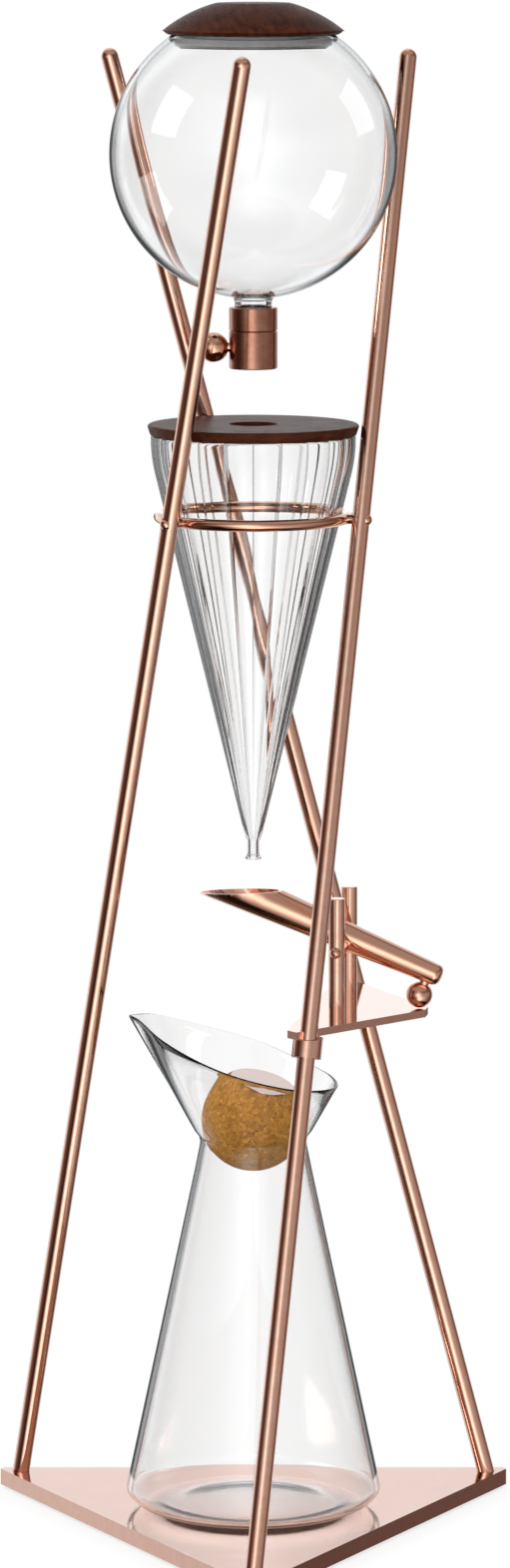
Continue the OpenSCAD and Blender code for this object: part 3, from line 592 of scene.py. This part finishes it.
def rounded(profile, steps=5):
    """A profile of (radius, height, rounding) points, in millimetres, with its corners rounded."""
    points = []
    for i, (x, y, size) in enumerate(profile):
        if size <= 0:
            points.append((x, y))
            continue
        here = Vector((x, y))
        back = Vector(profile[i - 1][:2]) - here
        ahead = Vector(profile[(i + 1) % len(profile)][:2]) - here
        size = min(size, back.length * 0.49, ahead.length * 0.49)
        start = here + back.normalized() * size
        end = here + ahead.normalized() * size
        for t in evenly(0, 1, steps):
            spot = start.lerp(here, t).lerp(here.lerp(end, t), t)
            points.append((spot.x, spot.y))
    return points


def on_axis(angle, radius, height, base):
    """A point round the tower's axis: radius and height in millimetres, base in metres."""
    return (radius * MM * math.cos(angle), radius * MM * math.sin(angle), base + height * MM)


def around_axis(count):
    """Angles of so many points round the axis."""
    return [2 * math.pi * i / count for i in range(count)]


def lathe(name, profile, base, around, loop=True):
    """A skin turned about the axis from (radius, height) in millimetres above base in metres."""
    angles = around_axis(around)
    piece = skin(name, [[on_axis(angle, radius, height, base) for angle in angles]
                        for radius, height in profile], loop)
    normals = piece.modifiers.new("Weighted normals", "WEIGHTED_NORMAL")
    normals.keep_sharp = True
    return piece


def stand_for(piece, body, node, material, shadow=True):
    """The piece rides on the body, takes the node's place and gets its finish.

    Without shadow it lets the lamps through, as clear glass does.
    """
    piece.data.materials.append(material)
    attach(piece, body)
    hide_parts(node)
    piece.visible_shadow = shadow
    return piece


# ---------------- glass shapes, in millimetres


def build_globe(glass):
    """The tank: a blown globe with a ground mouth and a drawn-out drip neck."""
    low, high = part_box("tank_globe")
    radius, wall, mouth, lip = 65.2, 2.0, 35.8, 1.0
    neck, bore, fillet = 8.35, 6.0, 2.5
    flange, flange_height, root, root_height = 9.3, 2.0, 0.2, 0.6
    flare, flare_height, ease, rim_turn, steps = 1.5, 1.4, 0.3, 0.3, 72
    inner = radius - wall
    rim = math.sqrt(radius**2 - (mouth + lip) ** 2)
    bottom = rim - (high[2] - low[2]) / MM
    flange_top = bottom + flange_height
    rim_angle = 90 - math.degrees(math.asin((mouth + lip) / radius))
    corner = math.degrees(math.asin((neck + fillet) / (radius + fillet)))
    join = math.degrees(math.asin((bore + flare) / inner))
    middle = ((radius + fillet) * math.sin(math.radians(corner)),
              -(radius + fillet) * math.cos(math.radians(corner)))
    profile = [(mouth, rim - ease), (mouth + lip * 0.25, rim), (mouth + lip * 0.75, rim)]
    profile += bow((0, 0), radius, rim_angle - rim_turn, -90 + corner, steps)
    profile += bow(middle, fillet, 90 + corner, 180, 6)[1:]
    profile += [(neck, flange_top + root_height), (neck + root, flange_top),
                (flange - ease, flange_top), (flange, flange_top - ease),
                (flange, bottom + ease), (flange - ease, bottom),
                (bore + ease, bottom), (bore, bottom + ease),
                (bore, -inner * math.cos(math.radians(join)) - flare_height)]
    profile += bow((0, 0), inner, -90 + join, 90 - math.degrees(math.asin(mouth / inner)), steps)
    piece = lathe("globe_tank", profile, high[2] - rim * MM, around=160)
    return stand_for(piece, "tank", "tank_globe", glass, shadow=False)


def build_filter(glass, steps):
    """The filter: a moulded cone of lobes that meet in narrow creases, with a beaded drip neck.

    Heights count from the point where the cone's outside would close; it is cut off above.
    """
    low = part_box("filter_cone")[0]
    cone, tip, top, wall = math.radians(13.8), 4.8, 200.0, 1.8
    depth, lobes_from, lobes_over, crowding = 0.026, 14.0, 60.0, 1.7
    shoulder, shoulder_end, neck_top, bore = 67.0, 198.0, 17.0, 1.5
    slope, bead = math.tan(cone), wall / 2
    shoulder_start = shoulder_end - shoulder * math.sin(cone)
    shoulder_middle = slope * shoulder_start - shoulder * math.cos(cone)
    # Drip neck from the cone down its outside, round its beaded tip and up its bore.
    drip_neck = ((15.6, 3.7), (14.4, 3.15), (13.2, 2.82), (12.0, 2.75), (7.2, 2.75),
                 (6.4, 2.95), (5.95, 3.4), (5.6, 3.65), (5.2, 3.65), (4.9, 3.45),
                 (tip, 3.1), (tip, 1.9), (4.95, 1.55), (6.0, bore), (12.5, bore))
    # Places across a lobe, from crease to crease, that crowd towards both creases.
    half = [1 - (i / steps) ** crowding for i in range(1, steps)]
    spots = [-1.0] + [-spot for spot in half] + [0.0] + half[::-1]
    angles = [(lobe + spot / 2) * 2 * math.pi / FILTER_LOBES
              for lobe in range(FILTER_LOBES) for spot in spots]

    def plain(height):
        """Radius of the cone without its lobes: straight, then curved in to the rim."""
        height = min(height, shoulder_end)
        if height > shoulder_start:
            return shoulder_middle + math.sqrt(shoulder**2 - (shoulder_end - height) ** 2)
        return slope * height

    def ring(height, radius, share):
        """A ring of points whose creases cut in by a share of the radius."""
        points = []
        for angle in angles:
            crease = 1 - abs(math.cos(angle * FILTER_LOBES / 2))
            points.append(on_axis(angle, radius * (1 - share * crease), height - tip, low[2]))
        return points

    def lobed(height, inset):
        """A ring of the wall; the lobes fade out towards the neck."""
        share = depth * min(1.0, max(0.0, (height - lobes_from) / lobes_over))
        return ring(height, plain(height) - inset, share)

    def rim(*degrees):
        """Rings at these angles round the rim's bead."""
        return [ring(top - bead + bead * math.sin(turn),
                     plain(top) - bead + bead * math.cos(turn), depth)
                for turn in map(math.radians, degrees)]

    floor = (bore + wall) / slope
    outside = (evenly(top - bead, shoulder_end, 2) + evenly(shoulder_end, shoulder_start, 8)[1:]
               + evenly(shoulder_start, neck_top, 26)[1:])
    inside = (evenly(floor, shoulder_start, 22)[:-1] + evenly(shoulder_start, shoulder_end, 6)
              + [top - 1.0])
    rings = rim(90, 55, 20) + [lobed(height, 0.0) for height in outside]
    rings += [ring(height, radius, 0.0) for height, radius in drip_neck]
    rings += [lobed(height, wall) for height in inside] + rim(160, 125)
    piece = skin("lobed_filter_cone", rings, loop=True)
    return stand_for(piece, "filter", "filter_cone", glass, shadow=False)


def build_carafe(glass):
    """The carafe: a cone on a rounded foot, a tight waist and a funnel cut on the slant.

    Facing runs from 1 at the pouring lip to -1 behind it, and away from 0 to 180 degrees.
    """
    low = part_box("carafe")[0]
    widest, foot, floor, wall = 58.9, 9.5, 2.8, 2.2
    outer_foot, inner_foot, outer_puff, inner_puff = 20.0, 14.0, 1.2, 0.8
    waist_height, waist, waist_bend, lip_height = 173.2, 24.6, 5.0, 231.8
    open_angle, rim_slope = math.radians(29.5), math.tan(math.radians(18.4))
    sag, sag_reach, level_from, level_over = 2.1, 25, 105, 55
    swell, swell_reach, pinch, pinch_start, pinch_reach = 0.16, 30, 0.10, 9, 38
    edge, edge_lean, edge_round, edge_steps = 0.9, 0.35, 0.8, 6
    around, body_steps, funnel_steps = 160, 17, 13
    open_slope = math.tan(open_angle)
    lean = math.atan((widest - waist) / (waist_height - foot))
    lip = waist + (lip_height - waist_height) * open_slope

    def away_from_lip(facing):
        return math.degrees(math.acos(max(-1.0, min(1.0, facing))))

    def rim_height(facing):
        """Height of the slanted rim, which sags beside the lip and is straight again behind."""
        pull = rim_slope * facing
        top = lip_height - lip * rim_slope + pull * (waist - waist_height * open_slope)
        away = away_from_lip(facing)
        back = min(1.0, max(0.0, (away - level_from) / level_over))
        dip = sag * (1 - math.exp(-away / sag_reach)) * (1 - back * back * (3 - 2 * back))
        return top / (1 - pull * open_slope) - dip

    def spread(facing, share):
        """How far the funnel is drawn out to its sides and pinched beside the lip."""
        away = away_from_lip(facing)
        sides = swell * math.exp(-((away - 90) / swell_reach) ** 2)
        hollow = (pinch * (1 - math.exp(-away / pinch_start))
                  * math.exp(-((away / pinch_reach) ** 2)))
        return 1 + (sides - hollow) * max(0.0, share) ** 1.5

    def wall_profile(offset, base, under, puff):
        """Foot, body and waist of one side of the glass; offset is its depth inside the skin.

        Under is how far the foot's curve runs in below the body, puff how far the middle rises.
        """
        drop = foot - base
        middle = widest - offset - under
        throat = waist - offset
        points = [(AXIS, base + puff), (middle * 0.55, base + puff * 0.9),
                  (middle * 0.82, base + puff * 0.45), (middle * 0.95, base)]
        end = math.degrees(math.atan(drop / under * math.tan(lean)))
        points += [(middle + under * x, foot + drop * y)
                   for x, y in bow((0, 0), 1.0, -86, end, 18)]
        start = points[-1]
        for share in evenly(0, 1, body_steps)[1:-1]:
            points.append((start[0] + (throat + 0.6 - start[0]) * share,
                           start[1] + (waist_height - waist_bend - start[1]) * share))
        return points + [(throat + 0.25, waist_height - 2.6), (throat, waist_height),
                         (throat + 0.9, waist_height + 2.6)]

    def funnel_point(offset, facing, share):
        """A point of the funnel's wall, from just above the waist to just below the rim."""
        start = waist_height + waist_bend
        height = start + (rim_height(facing) - edge - start) * share
        offset *= 1 - 0.5 * share**3
        radius = waist + (height - waist_height) * open_slope
        return (radius * spread(facing, share) - offset / math.cos(open_angle) * 0.98, height)

    def edge_point(facing, swing):
        """A point of the rounded edge, whose swing runs from the outer wall to the inner one."""
        a, b = funnel_point(0.0, facing, 1.0), funnel_point(wall, facing, 1.0)
        return ((a[0] + b[0]) / 2 + (a[0] - b[0]) / 2 * math.cos(swing)
                + edge_lean * math.sin(swing), (a[1] + b[1]) / 2 + edge_round * math.sin(swing))

    turns = around_axis(around)
    facings = [math.cos(turn - math.pi) for turn in turns]
    rows = [[point] * around for point in wall_profile(0.0, 0.0, outer_foot, outer_puff)]
    rows += [[funnel_point(0.0, facing, share) for facing in facings]
             for share in evenly(0, 1, funnel_steps)]
    rows += [[edge_point(facing, swing) for facing in facings]
             for swing in evenly(0, math.pi, edge_steps)[1:-1]]
    rows += [[funnel_point(wall, facing, share) for facing in facings]
             for share in evenly(1, 0, funnel_steps)]
    rows += [[point] * around
             for point in reversed(wall_profile(wall, floor, inner_foot, inner_puff))]
    rings = [[on_axis(turn, *point, low[2]) for turn, point in zip(turns, row)] for row in rows]
    piece = skin("spouted_carafe", rings)
    return stand_for(piece, "carafe", "carafe", glass, shadow=False)


# ---------------- wood and cork shapes, in millimetres


def build_dome_lid(wood):
    """The tank's lid: a shallow dome with a small flat crown and a stepped plug below."""
    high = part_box("tank_lid")[1]
    height, sphere, crown, edge_height, crown_drop = 14.2, 64.8, 16.4, 1.6, 0.1
    plug, plug_depth, groove, groove_top, groove_end = 33.0, 6.5, 32.0, 2.0, 6.0
    middle = height - math.sqrt(sphere**2 - crown**2)
    edge = math.degrees(math.asin((edge_height - middle) / sphere))
    crown_angle = math.degrees(math.asin((height - crown_drop - middle) / sphere))
    profile = [(AXIS, height), (8.0, height), (14.6, height)]
    profile += bow((0, middle), sphere, crown_angle, edge, 30)
    profile += rounded([(40.15, 1.35, 0.0), (40.1, 1.0, 0.5), (38.6, 0.0, 0.4),
                        (plug + 0.1, 0.0, 0.0)])
    profile += rounded([(plug, -0.2, 0.0), (plug, -groove_top, 0.0), (groove, -groove_top, 0.0),
                        (groove, -groove_end, 0.0), (plug, -groove_end, 0.0),
                        (plug, -plug_depth, 0.2), (20.0, -plug_depth, 0.0),
                        (AXIS, -plug_depth, 0.0)])
    piece = lathe("walnut_dome_lid", profile, high[2] - height * MM, around=144, loop=False)
    return stand_for(piece, "lid", "tank_lid", wood)


def build_disc_lid(wood):
    """The filter's lid: a disc with a drip hole, eased edges and an undercut rim."""
    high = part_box("filter_lid")[1]
    thick, hole, seat, seat_depth, under, edge = 4.8, 10.9, 43.0, 1.0, 46.9, 48.2
    profile = rounded([(hole, -seat_depth, 0.2), (seat, -seat_depth, 0.2), (seat, 0.0, 0.0),
                       (under, 0.0, 0.4), (edge, thick - 0.8, 0.7), (edge - 0.8, thick, 0.7),
                       (hole, thick, 0.6)])
    piece = lathe("walnut_filter_lid", profile, high[2] - thick * MM, around=144)
    return stand_for(piece, "cover", "filter_lid", wood)


def build_cork(finish):
    """The stopper's ball of pressed cork, slightly pitted, with a flat seat for its disc."""
    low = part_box("cork_stopper")[0]
    disc_low, disc_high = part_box("stopper_disc")
    reach, sunk, seat_radius, rim_rise = 24.0 * MM, 0.6 * MM, 15.4 * MM, 0.9 * MM
    pitting, coarse, fine = 0.006, 900.0, 2200.0
    middle = Vector((0.0, 0.0, low[2] + reach))
    disc = Vector([(a + b) / 2 for a, b in zip(disc_low, disc_high)])
    up = (disc - middle).normalized()
    seat = (disc - middle).length - sunk
    builder = bmesh.new()
    bmesh.ops.create_icosphere(builder, subdivisions=6, radius=reach)
    for vert in builder.verts:
        rough = noise.noise(vert.co * coarse) * 0.5 + noise.noise(vert.co * fine) * 0.5
        point = vert.co * (1 - pitting * max(0.0, rough))
        over = point.dot(up) - seat
        if over > 0:
            flat = point - up * over
            if (flat - up * flat.dot(up)).length < seat_radius:
                point = flat
            elif over > rim_rise:
                point = point - up * (over - rim_rise)
        vert.co = middle + point
    piece = new_piece("cork_ball", builder)
    return stand_for(piece, "stopper", "cork_stopper", finish)


# ---------------- studio


def directly_seen(tree, rays):
    """1 for what the camera sees directly or through clear glass, 0 in mirrors."""
    through = math_node(tree, "SUBTRACT", rays.outputs["Is Transmission Ray"],
                        rays.outputs["Glossy Depth"], clamp=True)
    return math_node(tree, "MAXIMUM", rays.outputs["Is Camera Ray"], through)


def mix_shaders(tree, factor, first, second):
    """A Mix Shader of two shader nodes."""
    return add(tree, "ShaderNodeMixShader",
               [(0, factor), (1, first.outputs[0]), (2, second.outputs[0])])


def build_floor(settings):
    """A wide white floor that shows the object's shadow but no edge."""
    half_width, clearance = 6.0, 0.0002
    builder = bmesh.new()
    bmesh.ops.create_grid(builder, x_segments=8, y_segments=8, size=half_width)
    floor = new_piece("floor", builder)
    floor.location = (0.0, 0.0, -clearance)
    floor.visible_glossy = False
    floor.visible_transmission = False
    material = bpy.data.materials.new("White sweep")
    tree = empty_tree(material)
    paper = add(tree, "ShaderNodeBsdfDiffuse", [("Color", settings.floor_colour)])
    glow = add(tree, "ShaderNodeEmission", [("Color", settings.floor_colour), ("Strength", 1.0)])
    seen = directly_seen(tree, add(tree, "ShaderNodeLightPath"))
    from_middle = add(tree, "ShaderNodeVectorMath", [(0, object_coordinates(tree))],
                      operation="LENGTH").outputs["Value"]
    # The paper glows white by itself away from the object, and less where the shadow lies.
    own_light = range_node(tree, from_middle, 0.16, 0.5, 0.75, 1.0, soft=True)
    both = mix_shaders(tree, times(tree, seen, own_light), paper, glow)
    add(tree, "ShaderNodeOutputMaterial", [("Surface", both.outputs[0])])
    floor.data.materials.append(material)


def studio_tone(value):
    """Colour of one band: the dark flags are warm, the white ones neutral."""
    warm = min(1.0, value / 0.55)
    return (value, value * (0.50 + 0.52 * warm), value * (0.38 + 0.66 * warm))


def mirrored_studio(tree, turn, height):
    """The studio in mirrors: turn is 0.5 towards the camera, height the sine of the elevation."""
    above, below = (
        ramp_node(tree, turn, [(0.5 + angle / 360, studio_tone(value)) for angle, value in bands])
        for bands in (BANDS_ABOVE, BANDS_BELOW))
    tone = blend_node(tree, range_node(tree, height, -0.34, -0.05, 0.0, 1.0), below, above)
    away = math_node(tree, "ABSOLUTE", math_node(tree, "SUBTRACT", turn, 0.5))
    front = range_node(tree, away, 0.27, 0.37, 1.0, 0.0)
    # A dark cloth and then a grey ceiling hang over the front half, a thin grey one behind.
    for side, start, full, share, colour in (
            (front, 0.12, 0.42, 0.60, (0.02, 0.01, 0.01)),
            (front, 0.45, 0.70, 1.0, (0.42, 0.40, 0.39)),
            (rest_of(tree, front), 0.19, 0.25, 0.24, (0.20, 0.20, 0.21))):
        cover = times(tree, range_node(tree, height, start, full, 0.0, share), side)
        tone = blend_node(tree, cover, tone, colour)
    # Two black flags stand behind the object, either side of the sweep: they line the glass.
    flags = times(tree, window(tree, away, 0.425, 0.440, 0.470, 0.482, level=0.85),
                  window(tree, height, -0.55, -0.35, 0.0, 0.12))
    ground = range_node(tree, height, -0.82, -0.62, 0.05, 1.0)
    return blend_node(tree, 1.0, tone, times(tree, ground, rest_of(tree, flags)), "MULTIPLY")


def build_world():
    """White where it is seen directly, and a softly banded studio where metal mirrors it."""
    white = (1.0, 1.0, 1.0)
    world = bpy.data.worlds.new("Studio")
    bpy.context.scene.world = world
    tree = empty_tree(world)
    rays = add(tree, "ShaderNodeLightPath")
    coords = add(tree, "ShaderNodeTexCoord")
    across, along, height = split_axes(tree, coords.outputs["Generated"])
    turns = math_node(tree, "DIVIDE", math_node(tree, "ARCTAN2", along, across), 2 * math.pi)
    turn = math_node(tree, "FRACT", math_node(tree, "ADD", turns, 0.75))
    # Light that a glass wall reflects inside itself leaves it dimmed, which lines the rims.
    caught = times(tree, range_node(tree, rays.outputs["Transmission Depth"], 2.0, 3.0, 0.85, 0.0),
                   rays.outputs["Is Transmission Ray"])
    within = times(tree, caught, window(tree, height, -0.5, -0.3, 0.0, 0.12))
    paper = add(tree, "ShaderNodeBackground", [("Color", white), ("Strength", 1.0)])
    room = add(tree, "ShaderNodeBackground", [("Color", white), ("Strength", 0.75)])
    studio = add(tree, "ShaderNodeBackground", [
        ("Color", mirrored_studio(tree, turn, height)), ("Strength", rest_of(tree, within))])
    in_mirror = math_node(tree, "MINIMUM", rays.outputs["Glossy Depth"], 1.0)
    indirect = mix_shaders(tree, in_mirror, room, studio)
    direct = mix_shaders(tree, directly_seen(tree, rays), indirect, paper)
    add(tree, "ShaderNodeOutputWorld", [("Surface", direct.outputs[0])])


def softbox(name, place, aim, size, power):
    """A rectangular area light that looks from place to aim."""
    light = bpy.data.lights.new(name, "AREA")
    light.shape = "RECTANGLE"
    light.size, light.size_y = size
    light.energy = power
    lamp = link_to_scene(bpy.data.objects.new(name, light))
    lamp.location = place
    lamp.rotation_euler = (Vector(aim) - Vector(place)).to_track_quat("-Z", "Y").to_euler()
    lamp.visible_glossy = False
    return lamp


def build_lights(settings):
    """Two softboxes aimed at the tank show as windows in its glass, and a wash from the front."""
    tank = (0.0, 0.0, 0.63)
    softbox("Key softbox", (-1.58, -0.28, 1.45), tank, (0.86, 0.96), settings.key_power)
    softbox("Fill softbox", (1.60, 0.49, 1.31), tank, (0.8, 0.8), settings.fill_power)
    front = softbox("Front wash", (-0.5, -2.2, 1.6), tank, (1.0, 1.0), settings.front_power)
    front.visible_transmission = False


def build_camera(settings):
    """The photograph's own camera: its lens and place were solved from the three rods."""
    camera = bpy.data.cameras.new("Photograph")
    camera.sensor_fit = "VERTICAL"
    camera.sensor_height = 36.0
    camera.lens = settings.focal_pixels * camera.sensor_height / PHOTO_HEIGHT
    camera.clip_start, camera.clip_end = 0.05, 40.0
    view = link_to_scene(bpy.data.objects.new("Photograph", camera))
    view.location = settings.camera_place
    view.rotation_euler = (math.pi / 2 - settings.camera_tilt, 0.0, 0.0)
    bpy.context.scene.camera = view


# ---------------- operators


class TOWER_OT_build_studio(bpy.types.Operator):
    """Sets up the white sweep, the soft lights and the camera"""

    bl_idname = "tower.build_studio"
    bl_label = "Studio"

    def execute(self, context):
        settings = context.scene.tower_studio
        build_floor(settings)
        build_world()
        build_lights(settings)
        build_camera(settings)
        context.scene.view_settings.view_transform = "Standard"
        return {"FINISHED"}


class TOWER_OT_build_effects(bpy.types.Operator):
    """Makes the surface effects: smudges, edge wear, turning lines and walnut grain"""

    bl_idname = "tower.build_effects"
    bl_label = "Shared Effects"

    def execute(self, context):
        smudge_group()
        edge_wear_group()
        turning_group()
        walnut_group()
        return {"FINISHED"}


class TOWER_OT_finish_metal(bpy.types.Operator):
    """Plates the stand, the tipping tube, the valve and the stopper's disc in rose gold"""

    bl_idname = "tower.finish_metal"
    bl_label = "Rose-Gold Metal"

    def execute(self, context):
        settings = context.scene.tower_metal
        dress(BRIGHT_METAL, plated_metal("Rose gold polished", settings.colour,
                                         settings.roughness))
        dress(PLATE_METAL, plated_metal("Rose gold plate", settings.plate_colour,
                                        settings.roughness))
        dress(DISC_METAL, plated_metal("Rose gold disc", settings.disc_colour, roughness=0.16))
        # The turned parts, and the hidden ones below, take the darker plating: painted shade on the
        # same rose gold.
        dress(TURNED_METAL, plated_metal("Rose gold turned shaded", settings.shaded_turned_colour,
                                         settings.turned_roughness, turned=True, wear=0.15))
        dress(HIDDEN_METAL, plated_metal("Rose gold satin", settings.shaded_turned_colour,
                                         roughness=0.35, scratch=0.1))
        return {"FINISHED"}


class TOWER_OT_finish_rubber(bpy.types.Operator):
    """Gives the pad, seal, gasket and O-ring their rubber"""

    bl_idname = "tower.finish_rubber"
    bl_label = "Rubber and Silicone"

    def execute(self, context):
        dress(CLEAR_RUBBER, rubber_material("Grey silicone", colour=(0.22, 0.22, 0.22),
                                            roughness=0.4))
        dress(BLACK_RUBBER, rubber_material("Black rubber", colour=(0.02, 0.02, 0.02),
                                            roughness=0.6))
        return {"FINISHED"}


class TOWER_OT_finish_wood(bpy.types.Operator):
    """Shapes both lids in walnut and the stopper in cork"""

    bl_idname = "tower.finish_wood"
    bl_label = "Walnut and Cork"

    def execute(self, context):
        build_dome_lid(walnut("Walnut dome", shift=(0.0, 0.013, 0.0), turn=(0.0, 0.35, 1.42)))
        build_disc_lid(walnut("Walnut disc", shift=(0.02, -0.031, 0.0), turn=(0.0, 0.0, -0.35)))
        build_cork(cork_material())
        return {"FINISHED"}


class TOWER_OT_finish_glass(bpy.types.Operator):
    """Shapes the tank, the filter and the carafe in clear glass"""

    bl_idname = "tower.finish_glass"
    bl_label = "Clear Glass"

    def execute(self, context):
        build_globe(clear_glass("Clear glass"))
        build_carafe(clear_glass("Carafe glass", upright=True))
        build_filter(clear_glass("Lobed glass", wave=0.02, lobes=FILTER_LOBES, edge_from=0.55),
                     context.scene.tower_glass.lobe_steps)
        return {"FINISHED"}


# ---------------- panel and registration


STEPS = (
    TOWER_OT_build_studio,
    TOWER_OT_build_effects,
    TOWER_OT_finish_metal,
    TOWER_OT_finish_rubber,
    TOWER_OT_finish_wood,
    TOWER_OT_finish_glass,
)
SETTINGS = (
    ("tower_metal", TowerMetalSettings),
    ("tower_glass", TowerGlassSettings),
    ("tower_wood", TowerWoodSettings),
    ("tower_studio", TowerStudioSettings),
)


class TOWER_PT_panel(bpy.types.Panel):
    """Lists the tower's steps and settings"""

    bl_idname = "TOWER_PT_panel"
    bl_label = "Drip Tower"
    bl_space_type = "VIEW_3D"
    bl_region_type = "UI"
    bl_category = "Drip Tower"

    def draw(self, context):
        column = self.layout.column(align=True)
        for step in STEPS:
            column.operator(step.bl_idname)
        for name, kind in SETTINGS:
            box = self.layout.box()
            for key in kind.__annotations__:
                box.prop(getattr(context.scene, name), key)


def register():
    for name, kind in SETTINGS:
        bpy.utils.register_class(kind)
        setattr(bpy.types.Scene, name, PointerProperty(type=kind))
    for step in STEPS:
        bpy.utils.register_class(step)
    bpy.utils.register_class(TOWER_PT_panel)


def unregister():
    bpy.utils.unregister_class(TOWER_PT_panel)
    for step in reversed(STEPS):
        bpy.utils.unregister_class(step)
    for name, kind in reversed(SETTINGS):
        delattr(bpy.types.Scene, name)
        bpy.utils.unregister_class(kind)


def main():
    register()
    for step in STEPS:
        category, action = step.bl_idname.split(".")
        getattr(getattr(bpy.ops, category), action)()


if __name__ == "__main__":
    main()
